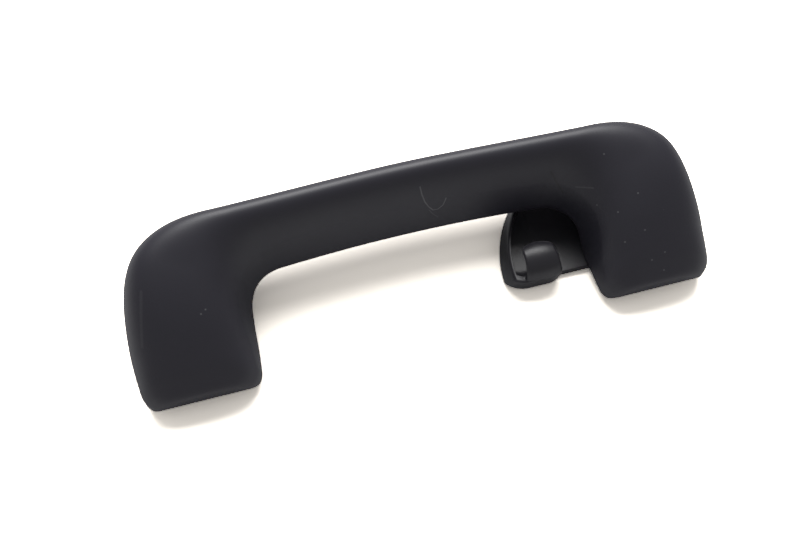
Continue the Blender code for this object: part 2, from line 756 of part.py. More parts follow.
def upright_loft(name, levels):
    """Skin plans stacked in height: each level is (plan, height)."""
    rings = [[(p.x, from_foot(p.y), z) for p in plan] for plan, z in levels]
    return loft(name, rings, cap_end=True, helper=True)


def hook_base(name):
    """Outer form of the hook's base: a leaning flank and a nose that bulges over its foot."""
    levels = []
    top = RIDGE_HEIGHT - RIDGE_EDGE
    for k in range(HOOK_STEPS + 1):
        z = blend(ROOF_CLEARANCE, top, k / HOOK_STEPS)
        low = max(1 - z / NOSE_FULL_HEIGHT, 0.0)
        lean = FLANK_LEAN * (z / RIDGE_HEIGHT) ** FLANK_POWER
        levels.append((hook_plan(lean, NOSE_UNDERCUT * low**2, 0.0, side_x(HOOK_SIDE_INSET)), z))
    for angle in (math.pi / 4, math.pi / 2):
        edge = RIDGE_EDGE * (1 - math.cos(angle))
        z = top + RIDGE_EDGE * math.sin(angle)
        levels.append((hook_plan(FLANK_LEAN + edge, edge, 0.0, side_x(HOOK_SIDE_INSET)), z))
    return upright_loft(f"{name}_base", levels)


def hook_hollow(name):
    """What is cut from the base: the trough, round at the foot of the nose, and the tray's floor."""
    radius = HOOK_RADIUS - HOOK_WALL
    floor = PLATE_THICKNESS - TROUGH_STEP
    levels = []
    for k in range(HOOK_STEPS + 1):
        angle = math.pi / 2 * k / HOOK_STEPS
        shift = radius * (1 - math.sin(angle))
        levels.append((hook_plan(RIDGE_WIDTH, HOOK_WALL, shift, side_x(HOOK_SIDE_INSET) + RIDGE_WIDTH),
                       floor + radius * (1 - math.cos(angle))))
    levels.append((levels[-1][0], HOOK_HEIGHT))
    hollow = upright_loft(f"{name}_hollow", levels)
    for vertex in hollow.data.vertices:
        if vertex.co.y > from_foot(TRAY_BACK) - GAP:
            vertex.co.y += RIDGE_WIDTH
    return hollow


def hook_tongue(name):
    """The tongue: a rounded strip swept up round the nose and back over the trough."""
    centre_z = HOOK_HEIGHT - HOOK_RADIUS
    axis = NOSE_AT + HOOK_RADIUS
    middle = side_x(HOOK_SIDE_INSET + TONGUE_ROOT_WIDTH / 2)
    rings = []
    for k in range(TONGUE_STATIONS + 1):
        rise = 1 - (1 - k / TONGUE_STATIONS) ** TONGUE_CROWDING
        angle = blend(ROOT_ANGLE, TIP_ANGLE, rise)
        to_tip = (angle - TIP_ANGLE) * HOOK_RADIUS
        half = blend(TONGUE_ROOT_WIDTH, TONGUE_TIP_WIDTH, ease(rise)) / 2
        half -= TONGUE_CORNER_DEPTH * (1 - math.sqrt(1 - max(1 - to_tip / TONGUE_CORNER, 0.0) ** 2))
        thick = blend(HOOK_WALL, TIP_THICKNESS, rise)
        ring_points = []
        for x, inward in strip_section(half, thick):
            r = HOOK_RADIUS - inward
            ring_points.append((middle - TONGUE_SHIFT * rise + x, from_foot(axis + r * math.cos(angle)),
                                centre_z + r * math.sin(angle)))
        rings.append(ring_points)
    return loft(f"{name}_tongue", rings, cap_end=True, helper=True)


def strip_section(half, thick):
    """Section of the tongue: (place across it, depth under its outer face), with a crown and round edges."""
    edge = min(TONGUE_EDGE, thick / 2)
    side = []
    for angle in (0.0, math.pi / 6, math.pi / 3, math.pi / 2):
        side.append((half - edge + edge * math.cos(angle), TONGUE_CROWN + edge - edge * math.sin(angle)))
    other = [(-x, inward) for x, inward in side[::-1]]
    nick = edge / 2
    under = [(-half, thick - nick), (-half + nick, thick), (half - nick, thick), (half, thick - nick)]
    return side + [(0.0, 0.0)] + other + under


def build_hook_bracket(material):
    name = "hook_bracket"
    bracket, axis, screw = bracket_base(1, name, material)
    hook = hook_base(name)
    triangulate(hook)
    hollow = hook_hollow(name)
    triangulate(hollow)
    boolean(hook, hollow, "DIFFERENCE")
    tongue = hook_tongue(name)
    triangulate(tongue)
    boolean(hook, tongue, "UNION")
    tray = block(f"{name}_tray", (side_x(HOOK_SIDE_INSET) - NOSE_TURN, from_foot(PLATE_FRONT), 0.0),
                 (axis[0], from_foot(TRAY_BACK - GAP), PLATE_THICKNESS))
    boolean(bracket, tray, "UNION")
    boolean(bracket, hook, "UNION")
    bracket_holes(bracket, axis, screw, name)
    return bracket


def build_pins(material):
    for side, word in ((-1, "left"), (1, "right")):
        skin = abs(outer_skin(side)) - LEG_CENTRE
        outer_end = side * (skin - PIN_SKIN / 2)
        inner_end = -side * (BOSS_SPAN / 2 + BUSH_DEPTH)
        low, high = sorted((outer_end, inner_end))
        axis = (side * LEG_CENTRE, HINGE_Y, HINGE_HEIGHT)
        rod(f"{word}_pin", PIN_RADIUS, low, high, axis, helper=False, material=material, chamfer=PIN_CHAMFER)


def build_bushes(material):
    bore = PIN_RADIUS + GAP
    for side, word in ((-1, "left"), (1, "right")):
        axis = (side * LEG_CENTRE, HINGE_Y, HINGE_HEIGHT)
        for end, place in ((side, "outer"), (-side, "inner")):
            face = BOSS_SPAN / 2 - GAP
            tip = BOSS_SPAN / 2 + BUSH_DEPTH
            flange = face - BUSH_FLANGE
            profile = [(BUSH_RADIUS, tip), (BUSH_RADIUS, face), (BUSH_FLANGE_RADIUS, face)]
            profile += [(BUSH_FLANGE_RADIUS, flange), (bore, flange), (bore, tip)]
            if end < 0:
                profile = [(radius, -offset) for radius, offset in profile[::-1]]
            turned(f"{word}_{place}_bush", profile, axis, closed=True, material=material)


def build_spring(material):
    """A torsion spring round the left pin. Its tail sits under the ledge, its arm under the bridge."""
    turn_points = 12
    length = COIL_TURNS * COIL_PITCH
    count = COIL_TURNS * turn_points
    arm_angle = -math.pi / 2
    span = 2 * math.pi * COIL_TURNS + (3 * math.pi / 2 - SPRING_TAIL_ANGLE)
    tail_at = -EAR_INNER + SPRING_END_GAP + WIRE_RADIUS
    arm_at = tail_at + COIL_PITCH + length
    points = [(arm_at, SPRING_ARM_REACH, -COIL_RADIUS), (arm_at, SPRING_ARM_REACH / 2, -COIL_RADIUS)]
    for k in range(count + 1):
        angle = arm_angle - span * k / count
        points.append((arm_at - length * k / count, COIL_RADIUS * math.cos(angle), COIL_RADIUS * math.sin(angle)))
    tail = (math.cos(SPRING_TAIL_ANGLE), math.sin(SPRING_TAIL_ANGLE))
    for reach in (SPRING_TAIL_BEND, SPRING_TAIL_REACH):
        points.append((tail_at, reach * tail[0], reach * tail[1]))
    curve = bpy.data.curves.new("return_spring", "CURVE")
    curve.dimensions = "3D"
    curve.bevel_depth = WIRE_RADIUS
    curve.bevel_resolution = 1
    curve.use_fill_caps = True
    spline = curve.splines.new("POLY")
    spline.points.add(len(points) - 1)
    for spot, place in zip(spline.points, points):
        spot.co = (*place, 1.0)
    spring = add_object("return_spring", curve, material)
    spring.location = (-LEG_CENTRE, HINGE_Y, HINGE_HEIGHT)
    return spring


def build_damper(housing_material, rotor_material, seal_material):
    """The rotary damper on the right pin: cup, rotor, seal and lid, with the drive arm at the open end."""
    axis = (LEG_CENTRE, HINGE_Y, HINGE_HEIGHT)
    bore = PIN_RADIUS + GAP
    start = -EAR_INNER + GAP
    inside = DAMPER_RADIUS - DAMPER_WALL
    mouth = start + DAMPER_LENGTH
    floor = start + DAMPER_FLOOR
    cup = turned("damper_housing", [
        (DAMPER_RADIUS, mouth), (DAMPER_RADIUS, start), (bore, start),
        (bore, floor), (inside, floor), (inside, mouth)], axis, closed=True, material=housing_material)
    key_top = -COIL_RADIUS + WIRE_RADIUS
    key_y = math.sqrt(DAMPER_RADIUS**2 - key_top**2) - DAMPER_WALL / 2
    key = block("damper_key",
                (axis[0] + start, HINGE_Y + key_y, HINGE_HEIGHT + key_top - KEY_THICKNESS),
                (axis[0] + start + KEY_WIDTH, HINGE_Y + KEY_REACH, HINGE_HEIGHT + key_top))
    boolean(cup, key, "UNION")
    shaft = bore + ROTOR_SHAFT_WALL
    seal_width = 2 * SEAL_RADIUS
    body_end = mouth - seal_width - 2 * GAP
    lid_end = mouth + GAP + DAMPER_LID
    arm_start = lid_end + GAP
    arm_end = arm_start + DRIVE_ARM_THICKNESS
    rotor = turned("damper_rotor", [
        (shaft, arm_end), (shaft, body_end), (inside - GAP, body_end), (inside - GAP, floor + GAP),
        (bore, floor + GAP), (bore, arm_end)], axis, closed=True, material=rotor_material)
    arm = sector("damper_arm", (bore + shaft) / 2, DRIVE_ARM_REACH, DRIVE_ARM_FROM, DRIVE_ARM_TO,
                 axis[0] + arm_start, axis[0] + arm_end)
    boolean(rotor, arm, "UNION")
    ring("damper_lid", DAMPER_RADIUS, shaft + GAP, mouth + GAP, lid_end, axis, material=housing_material)
    middle = (inside + shaft) / 2
    seal_at = mouth - GAP - SEAL_RADIUS
    steps = 8
    loop = []
    for k in range(steps):
        angle = -2 * math.pi * k / steps
        loop.append((middle + SEAL_RADIUS * math.cos(angle), seal_at + SEAL_RADIUS * math.sin(angle)))
    turned("damper_seal", loop, axis, closed=True, material=seal_material)


def build_fixings(steel, plastic, rubber):
    """Screw sleeves, screw covers and rubber buffers of both brackets."""
    for side, word in ((-1, "left"), (1, "right")):
        screw = (side * LEG_CENTRE, from_foot(SCREW_BOSS_AT), 0.0)
        ring(f"{word}_sleeve", SLEEVE_RADIUS, SLEEVE_RADIUS - SLEEVE_WALL, 0.0, SCREW_SEAT_HEIGHT - GAP,
             screw, "Z", material=steel)
        under = SCREW_BOSS_HEIGHT + GAP
        top = under + COVER_THICKNESS
        skirt = SCREW_HEAD_RADIUS - GAP
        skirt_end = under - COVER_SKIRT_DEPTH - GAP
        edge = COVER_THICKNESS / 3
        turned(f"{word}_cover", [
            (0.0, top), (COVER_RADIUS - edge, top), (COVER_RADIUS, top - edge), (COVER_RADIUS, under),
            (skirt, under), (skirt, skirt_end), (skirt - COVER_SKIRT_WALL, skirt_end),
            (skirt - COVER_SKIRT_WALL, under), (0.0, under)], screw, "Z", material=plastic)
        seat = PLATE_THICKNESS + GAP
        stem = (side * LEG_CENTRE, from_foot(RIB_AT), 0.0)
        high = seat + BUFFER_HEIGHT
        rounding = BUFFER_RADIUS / 4
        turned(f"{word}_buffer", [
            (0.0, high), (BUFFER_RADIUS - rounding, high), (BUFFER_RADIUS, high - rounding),
            (BUFFER_RADIUS, seat), (BUFFER_STEM_RADIUS, seat), (BUFFER_STEM_RADIUS, 2 * GAP), (0.0, 2 * GAP)],
            stem, "Z", material=rubber)


def build():
    soft_touch = make_material("soft_touch", (0.026, 0.027, 0.033), 0.55)
    hook_plastic = make_material("satin_black", (0.014, 0.014, 0.016), 0.35)
    steel = make_material("steel", (0.55, 0.55, 0.56), 0.35, 1.0)
    spring_steel = make_material("spring_steel", (0.30, 0.30, 0.31), 0.4, 1.0)
    bush_plastic = make_material("bush_plastic", (0.72, 0.71, 0.66), 0.4)
    damper_plastic = make_material("damper_plastic", (0.05, 0.05, 0.05), 0.4)
    rotor_plastic = make_material("rotor_plastic", (0.62, 0.60, 0.55), 0.4)
    rubber = make_material("rubber", (0.02, 0.02, 0.02), 0.8)
    build_grip(soft_touch)
    build_left_bracket(hook_plastic)
    build_hook_bracket(hook_plastic)
    build_pins(steel)
    build_bushes(bush_plastic)
    build_spring(spring_steel)
    build_damper(damper_plastic, rotor_plastic, rubber)
    build_fixings(steel, hook_plastic, rubber)


build()
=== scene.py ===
"""Looks of the roof grab handle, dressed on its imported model.

The soft-touch grip, the hook bracket and the return spring are made again with finer stations on the
model's own sizes. Everything is in metres, with +X along the handle, +Y from the feet to the bar and
+Z away from the roof.
"""
import json
import math

import bpy
from mathutils import Matrix, Vector


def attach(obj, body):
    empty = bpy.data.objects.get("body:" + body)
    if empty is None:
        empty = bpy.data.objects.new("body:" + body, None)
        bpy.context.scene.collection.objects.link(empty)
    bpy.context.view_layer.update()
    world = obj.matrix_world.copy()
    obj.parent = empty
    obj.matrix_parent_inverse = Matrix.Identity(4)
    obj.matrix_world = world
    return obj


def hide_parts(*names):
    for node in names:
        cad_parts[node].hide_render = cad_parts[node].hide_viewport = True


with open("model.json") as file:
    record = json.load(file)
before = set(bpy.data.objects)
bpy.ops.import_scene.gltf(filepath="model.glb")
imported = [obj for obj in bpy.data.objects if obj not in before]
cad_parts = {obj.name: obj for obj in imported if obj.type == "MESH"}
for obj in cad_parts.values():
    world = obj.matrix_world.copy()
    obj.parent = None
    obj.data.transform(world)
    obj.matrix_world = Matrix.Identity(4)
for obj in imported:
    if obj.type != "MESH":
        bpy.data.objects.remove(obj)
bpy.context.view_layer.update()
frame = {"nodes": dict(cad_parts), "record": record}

# Handle outline, seen from the front
HANDLE_LENGTH = 0.2400
HANDLE_DEPTH = 0.0716
LEG_WIDTH = 0.0452
BAR_DEPTH = 0.0273
FOOT_TAPER = 0.0030
WIDEST_AT = 0.0248
CORNER_REACH = 0.0369
CORNER_DROP = 0.0048
INNER_TAPER = 0.0010
INNER_WAIST_AT = 0.0218
INNER_CORNER_REACH = 0.0173
INNER_CORNER_DROP = 0.0011
OUTER_TANGENT = 0.053
INNER_TANGENT = 0.053
OUTER_FULLNESS = 0.75
INNER_FULLNESS = 0.56
OUTER_WAIST_PULL = 0.55
INNER_WAIST_PULL = 0.5
LEG_FOOT_REACH = 0.4
LEG_WAIST_REACH = 0.35

# Side profile and section of the grip
CREST_HEIGHT = 0.0520
FOOT_HEIGHT = 0.0137
PROFILE_REACH = 0.0725
PROFILE_POWER = 1.90
BAR_CLEARANCE = 0.0116
BAR_RISE = 0.0004
RIM_HEIGHT = 0.0042
DRAFT_START = 0.0080
OUTER_DRAFT = 0.192
INNER_DRAFT = 0.143
LEG_OUTER_RADIUS = 0.0115
LEG_INNER_RADIUS = 0.0105
BAR_BACK_RADIUS = 0.0120
BAR_FRONT_RADIUS = 0.0140
BAR_UNDER_RADIUS = 0.0080
RIM_RADIUS = 0.0005
TOP_RADIUS_LIMIT = 0.5
UNDER_WIDTH_LIMIT = 0.49
UNDER_HEIGHT_LIMIT = 0.44
FACE_CROWN = 0.0015
FOOT_CORNER_RADIUS = 0.0067
FOOT_BLEND = 0.0016
FOOT_BLEND_FULL_AT = 0.0030
FOOT_ROUND_END = 0.0078

# Hinge
HINGE_HEIGHT = 0.0110
ROOF_CLEARANCE = 0.00015
FOOT_FACET_ANGLE = math.radians(10)
FOOT_LAST_ANGLE = math.radians(62)
PIN_RADIUS = 0.0025
BUSH_WALL = 0.0010
BUSH_FLANGE_RADIUS = 0.0055
BUSH_FLANGE = 0.0010
BUSH_DEPTH = 0.0038
GAP = 0.0003

# Pocket in each leg
SIDE_WALL = 0.0028
FACE_WALL = 0.0022
END_WALL = 0.0024
POCKET_DEPTH = 0.0510
POCKET_LAST_ANGLE = math.radians(70)
POCKET_FOOT_RADIUS = 0.0060
POCKET_FAR_RADIUS = 0.0100
BOSS_STAND = 0.0033
BOSS_RADIUS = 0.0070
RIB_AT = 0.0460
RIB_THICKNESS = 0.0024
RIB_BOTTOM = 0.0093
LEDGE_RADIUS = 0.0068
LEDGE_FROM = math.radians(193)
LEDGE_TO = math.radians(205)
RELIEF_ANGLE = math.radians(215)

# Bracket with the coat hook
PLATE_THICKNESS = 0.0034
PLATE_WIDTH = 0.0340
PLATE_FRONT = 0.0187
PLATE_BACK = 0.0495
PLATE_CORNER = 0.0030
EAR_THICKNESS = 0.0040
EAR_RADIUS = 0.0065
EAR_WEB_FRONT = 0.0232
EAR_WEB_BACK = 0.0400
EAR_UNDERCUT = math.radians(-33.7)
BRIDGE_FRONT = 0.0202
BRIDGE_DEPTH = 0.0035
BRIDGE_TOP = 0.0120
SCREW_BOSS_AT = 0.0315
SCREW_BOSS_RADIUS = 0.0085
SCREW_BOSS_HEIGHT = 0.0130
SCREW_HEAD_RADIUS = 0.0068
SCREW_SEAT_HEIGHT = 0.0093
SLEEVE_RADIUS = 0.0050
BUFFER_STEM_RADIUS = 0.0017
FLANK_INSET = 0.0322
FLANK_AT = 0.0194
FLANK_RADIUS = 0.0530
FLANK_LEAN = 0.0024
FLANK_POWER = 1.5
RIDGE_HEIGHT = 0.0105
RIDGE_WIDTH = 0.0037
RIDGE_EDGE = 0.0008
NOSE_AT = 0.0148
NOSE_FULL_HEIGHT = 0.0056
NOSE_UNDERCUT = 0.0020
NOSE_LEFT_RADIUS = 0.0130
NOSE_RIGHT_RADIUS = 0.0070
NOSE_FLAT = 0.0085
NOSE_TURN = 0.0055
NOSE_TURN_LIMIT = 0.95
HOOK_SIDE_INSET = 0.0620
HOOK_RADIUS = 0.0092
HOOK_HEIGHT = 0.0192
HOOK_WALL = 0.0031
TROUGH_STEP = 0.0002
TIP_THICKNESS = 0.0022
ROOT_ANGLE = math.radians(232)
TIP_ANGLE = math.radians(56)
TONGUE_ROOT_WIDTH = 0.0165
TONGUE_TIP_WIDTH = 0.0135
TONGUE_SHIFT = 0.0012
TONGUE_CORNER = 0.0034
TONGUE_CORNER_DEPTH = 0.0026
TONGUE_EDGE = 0.0011
TONGUE_CROWN = 0.0007
TRAY_BACK = 0.0525

# Return spring
WIRE_RADIUS = 0.0007
COIL_RADIUS = 0.0040
SPRING_PLAY = 0.0033
SPRING_END_GAP = 0.0007
COIL_TURNS = 8
SPRING_TAIL_ANGLE = math.radians(213.5)
SPRING_TAIL_BEND = 0.0050
SPRING_TAIL_REACH = 0.0076
SPRING_ARM_REACH = 0.0150

# Facets of the finer pieces
ROUND_STEPS = 48
CORNER_STEPS = 12
CROWN_STEPS = 10
LEG_STATIONS = 24
CORNER_STATIONS = 40
BAR_STATIONS = 26
FOOT_STATIONS = 14
HOOK_STEPS = 20
TONGUE_STATIONS = 40
TONGUE_CROWDING = 1.3
STRIP_EDGE_STEPS = 6
COIL_STEPS = 48
WIRE_STEPS = 16
LEDGE_STEPS = 8
RIDGE_STEPS = 3

# Where the leg's own rings begin, as a share of how far those of its foot reach
FIRST_LEG_RING = 1.05

# Welding, and the angles from which an edge stays sharp
WELD_DISTANCE = 0.000002
MIRROR_MERGE = 0.00001
SHARP_EDGE = math.radians(32)
WIRE_SHARP_EDGE = math.radians(60)

# How much rounder the grip's crest runs on its legs and on its bar, and where one turns into the other
LEG_CREST_PASSES = 16
LEG_CREST_SWELL = 0.0008
BAR_CREST_PASSES = 48
BAR_CREST_SWELL = 0.0019
CREST_CHANGE_FROM = 0.0500
CREST_CHANGE_TO = 0.0640

# Soft edges of the hook bracket
MOULD_VOXEL = 0.00030
MOULD_SMOOTHING = 4
MOULD_KEPT_FACES = 0.35

# Values that follow from the sizes above
BAR_BACK_LEAN = (BAR_CLEARANCE + BAR_RISE + BAR_UNDER_RADIUS - DRAFT_START) * OUTER_DRAFT
FOOT_Y = -(HANDLE_DEPTH - BAR_BACK_LEAN) / 2
FOOT_SWEEP = HINGE_HEIGHT - ROOF_CLEARANCE
HINGE_SETBACK = FOOT_SWEEP * math.cos(FOOT_FACET_ANGLE)
HINGE_Y = FOOT_Y + HINGE_SETBACK
POCKET_SWEEP = FOOT_SWEEP - END_WALL
LEG_CENTRE = HANDLE_LENGTH / 2 - FOOT_TAPER / 2 - LEG_WIDTH / 2
BUSH_BORE = PIN_RADIUS + BUSH_WALL + 2 * GAP
BOSS_SPAN = LEG_WIDTH - 2 * (SIDE_WALL + BOSS_STAND)
EAR_OUTER = BOSS_SPAN / 2 - 2 * GAP - BUSH_FLANGE
EAR_INNER = EAR_OUTER - EAR_THICKNESS
COIL_PITCH = (2 * EAR_INNER - SPRING_PLAY - 2 * WIRE_RADIUS) / (COIL_TURNS + 1)

# Camera, at the photograph's angle
CAMERA_DISTANCE = 0.339352
CAMERA_AZIMUTH = math.radians(-15.574)
CAMERA_ELEVATION = math.radians(65.658)
CAMERA_ROLL = math.radians(0.952)
CAMERA_TARGET = Vector((-0.006023, FOOT_Y + 0.039837, 0.0))
CAMERA_NEAR = 0.01
LENS_MM = 35.558
SENSOR_MM = 36.0
PHOTO_WIDTH = 800
PHOTO_HEIGHT = 533

# Light: one wide window behind the handle, and the room
WINDOW_PLACE = Vector((0.12, 0.78, 1.00))
WINDOW_AIM = Vector((0.0, 0.02, 0.0))
WINDOW_WIDTH = 1.2
WINDOW_HEIGHT = 0.9
WINDOW_WATTS = 21.0
ROOM_LEVEL = 0.27

# Table: its half width, how far it lies under the brackets, and its colour in bounced light and to the eye
TABLE_HALF = 4.0
TABLE_DROP = 0.0002
TABLE_BOUNCE = (0.60, 0.60, 0.61, 1.0)
TABLE_SEEN = (3.30, 3.12, 2.86, 1.0)
TABLE_ROUGHNESS = 0.9

# Soft-touch skin
SKIN_DARK = (0.0155, 0.0144, 0.0236, 1.0)
SKIN_PALE = (0.0183, 0.0170, 0.0275, 1.0)
SKIN_ROUGHNESS = 0.48
SKIN_SPECULAR = 0.7
SKIN_GRAIN = 0.00035
SKIN_BUMP = 0.08
RUBBED_COLOUR = (0.30, 0.30, 0.31, 1.0)
DIRT_COLOUR = (0.004, 0.004, 0.005, 1.0)

# Moulded plastics: colour, roughness, specular level, grain size and bump strength
PLASTICS = {
    "satin_black": ((0.0180, 0.0168, 0.0225), 0.38, 0.6, 0.0005, 0.10),
    "bush_plastic": ((0.72, 0.71, 0.66), 0.4, 0.5, 0.0005, 0.05),
    "damper_plastic": ((0.045, 0.045, 0.045), 0.42, 0.5, 0.0005, 0.08),
    "rotor_plastic": ((0.62, 0.60, 0.55), 0.4, 0.5, 0.0005, 0.05),
    "rubber": ((0.012, 0.012, 0.012), 0.75, 0.3, 0.0004, 0.3)}
PLASTIC_SHADE = 0.86

# Metals: colour and roughness
METALS = {
    "steel": ((0.55, 0.55, 0.56), 0.32),
    "spring_steel": ((0.30, 0.30, 0.31), 0.38)}
METAL_SHADE = 0.8

# Slow changes over a moulding, in waves per metre
GLOSS_WAVES = 45.0
SHADE_WAVES = 110.0

# How much of a mark is at full strength, and the dust's specks as shares of their spacing
SCRATCH_CORE = 0.3
DUST_CORE = 0.5
DUST_SMALLEST = 0.010
DUST_LARGEST = 0.032
DUST_STRENGTH = 0.22

# Marks on the grip: pixels from the photograph's top left corner
CURVED_SCRATCH = ((420, 187), (422, 195), (425, 202), (429, 207),
                  (433, 210), (438, 209), (443, 205), (446, 198))
SCRATCH_TAIL = ((429, 210), (433, 214), (438, 217))
DARK_SCRATCH = ((551, 172), (557, 183), (563, 193))
FAINT_SCRATCH = ((576, 187), (593, 188))
# A faint pale line down the left leg, close to its outer edge
LEG_PALE_LINE = ((141, 292), (141, 320), (142, 347))
SPECKS = ((201, 314), (205.5, 309.5), (638, 193), (597, 205), (618, 212), (645, 230),
          (665, 252), (652, 260), (664, 270), (625, 242), (604, 154))

# Each pale mark's course, how many parts each of its lengths is laid on the skin in, its width and strength
PALE_MARKS = (
    (CURVED_SCRATCH, 1, 0.0004, 0.32),
    (SCRATCH_TAIL, 2, 0.0003, 0.15),
    (FAINT_SCRATCH, 2, 0.0005, 0.10),
    (LEG_PALE_LINE, 3, 0.0009, 0.05))
DARK_MARK = (DARK_SCRATCH, 2, 0.0006, 0.6)
SPECK_WIDTH = 0.0005
SPECK_STRENGTH = 0.30


def from_foot(distance):
    """World Y of a place that lies this far from the end of the feet."""
    return FOOT_Y + distance


def side_x(inset):
    """X of a place this far in from the handle's right end."""
    return HANDLE_LENGTH / 2 - inset


def blend(start, end, share):
    return start + (end - start) * share


def ease(share):
    share = min(max(share, 0.0), 1.0)
    return share * share * (3 - 2 * share)


def add_mesh(name, vertices, faces, edges=()):
    mesh = bpy.data.meshes.new(name)
    mesh.from_pydata([tuple(v) for v in vertices], list(edges), faces)
    mesh.update()
    item = bpy.data.objects.new(name, mesh)
    bpy.context.scene.collection.objects.link(item)
    return item


def apply_modifiers(item):
    """Swap the object's mesh for what its modifiers make of it."""
    graph = bpy.context.evaluated_depsgraph_get()
    mesh = bpy.data.meshes.new_from_object(item.evaluated_get(graph))
    item.modifiers.clear()
    item.data = mesh
    return item


def combine(target, tool, operation):
    """Boolean with a helper that is then removed."""
    cut = target.modifiers.new(operation.lower(), "BOOLEAN")
    cut.operation = operation
    cut.solver = "EXACT"
    cut.object = tool
    merge = target.modifiers.new("weld", "WELD")
    merge.merge_threshold = WELD_DISTANCE
    apply_modifiers(target)
    bpy.data.objects.remove(tool, do_unlink=True)
    return target


def triangulate(item):
    item.modifiers.new("flat faces", "TRIANGULATE")
    return apply_modifiers(item)


def smooth(item, angle=SHARP_EDGE):
    item.data.shade_smooth()
    item.data.set_sharp_from_angle(angle=angle)
    return item


def skin(name, rings, cap_end=True):
    """Skin a list of rings of equal length."""
    count = len(rings[0])
    faces = [list(range(count))[::-1]]
    for r in range(len(rings) - 1):
        for k in range(count):
            a = r * count + k
            b = r * count + (k + 1) % count
            faces.append([a, b, b + count, a + count])
    if cap_end:
        faces.append([(len(rings) - 1) * count + k for k in range(count)])
    return add_mesh(name, [point for ring in rings for point in ring], faces)


def prism_x(name, outline, x_low, x_high):
    """A solid with a (y, z) outline, anticlockwise seen from +X."""
    rings = [[(x, y, z) for y, z in outline] for x in (x_low, x_high)]
    return skin(name, rings)


def block(name, low, high):
    corners = [(low[1], low[2]), (high[1], low[2]), (high[1], high[2]), (low[1], high[2])]
    return prism_x(name, corners, low[0], high[0])


def rod_x(name, radius, x_low, x_high):
    """A round bar on the hinge axis."""
    outline = []
    for k in range(ROUND_STEPS):
        angle = 2 * math.pi * k / ROUND_STEPS
        outline.append((HINGE_Y + radius * math.cos(angle), HINGE_HEIGHT + radius * math.sin(angle)))
    return prism_x(name, outline, x_low, x_high)


def rod_z(name, radius, z_low, z_high, x, y):
    """An upright round bar."""
    angles = [2 * math.pi * k / ROUND_STEPS for k in range(ROUND_STEPS)]
    plan = [(x + radius * math.cos(a), y + radius * math.sin(a)) for a in angles]
    return skin(name, [[(across, along, z) for across, along in plan] for z in (z_low, z_high)])


def bezier(p0, p1, p2, p3, steps, include_end=False):
    points = []
    for k in range(steps + (1 if include_end else 0)):
        t = k / steps
        s = 1 - t
        points.append(p0 * s**3 + p1 * 3 * s * s * t + p2 * 3 * s * t * t + p3 * t**3)
    return points


def grip_edge(foot, waist, shoulder, crown, tangent, fullness, waist_pull):
    """One edge of the grip, seen from the front: foot, leg, corner, then the bar to its middle."""
    lean = waist - foot
    leg = bezier(foot, foot + Vector((lean.x * waist_pull, lean.y * LEG_FOOT_REACH)),
                 waist - Vector((0, lean.y * LEG_WAIST_REACH)), waist, LEG_STATIONS)
    turn = shoulder - waist
    along = Vector((math.cos(tangent), math.sin(tangent)))
    corner = bezier(waist, waist + Vector((0, turn.y * fullness)), shoulder - along * turn.x * fullness,
                    shoulder, CORNER_STATIONS)
    reach = (crown.x - shoulder.x) / 3
    bar = bezier(shoulder, shoulder + along * reach, crown - Vector((reach, 0)), crown, BAR_STATIONS, True)
    return leg + corner + bar


def outer_edge():
    half = HANDLE_LENGTH / 2
    return grip_edge(
        Vector((-half + FOOT_TAPER, 0.0)),
        Vector((-half, WIDEST_AT)),
        Vector((-half + CORNER_REACH, HANDLE_DEPTH - CORNER_DROP)),
        Vector((0.0, HANDLE_DEPTH)),
        OUTER_TANGENT, OUTER_FULLNESS, OUTER_WAIST_PULL)


def inner_edge():
    foot_x = -HANDLE_LENGTH / 2 + FOOT_TAPER + LEG_WIDTH
    depth = HANDLE_DEPTH - BAR_DEPTH
    return grip_edge(
        Vector((foot_x, 0.0)),
        Vector((foot_x + INNER_TAPER, INNER_WAIST_AT)),
        Vector((foot_x + INNER_TAPER + INNER_CORNER_REACH, depth - INNER_CORNER_DROP)),
        Vector((0.0, depth)),
        INNER_TANGENT, INNER_FULLNESS, INNER_WAIST_PULL)


def edge_x(edge, distance):
    """X of an edge at a distance from the feet, read along its leg."""
    for a, b in zip(edge, edge[1:]):
        if a.y <= distance <= b.y:
            return a.x + (b.x - a.x) * (distance - a.y) / (b.y - a.y)
    return edge[0].x if distance < edge[0].y else edge[-1].x


def face_height(distance):
    """Height of the grip's face over the roof, as its side profile has it."""
    share = min(max(distance / PROFILE_REACH, 0.0), 1.0)
    return FOOT_HEIGHT + (CREST_HEIGHT - FOOT_HEIGHT) * (1 - (1 - share) ** PROFILE_POWER)


def sweep_half_height(distance, radius):
    """Half the height of a cylinder round the hinge axis at a distance from the feet."""
    across = HINGE_SETBACK - distance
    return math.sqrt(max(radius * radius - across * across, 0.0))


def foot_top(distance):
    """Face height with the foot's rounding round the hinge blended in."""
    face = face_height(distance)
    if distance >= FOOT_ROUND_END:
        return face
    arc = HINGE_HEIGHT + sweep_half_height(distance, FOOT_SWEEP)
    lowest = min(face, arc)
    fade = ease((FOOT_ROUND_END - distance) / (FOOT_ROUND_END - FOOT_BLEND_FULL_AT))
    return lowest - fade * FOOT_BLEND * math.log(1 + math.exp(-abs(face - arc) / FOOT_BLEND))


def foot_bottom(distance):
    """Height of the rim, tucked up round the hinge at the end of the foot."""
    if distance >= HINGE_SETBACK:
        return RIM_HEIGHT
    return max(RIM_HEIGHT, HINGE_HEIGHT - sweep_half_height(distance, FOOT_SWEEP))


def corner_cut(distance):
    """How far the foot's rounded corner pulls each side in."""
    if distance >= FOOT_CORNER_RADIUS:
        return 0.0
    share = 1 - distance / FOOT_CORNER_RADIUS
    return FOOT_CORNER_RADIUS * (1 - math.sqrt(1 - share * share))


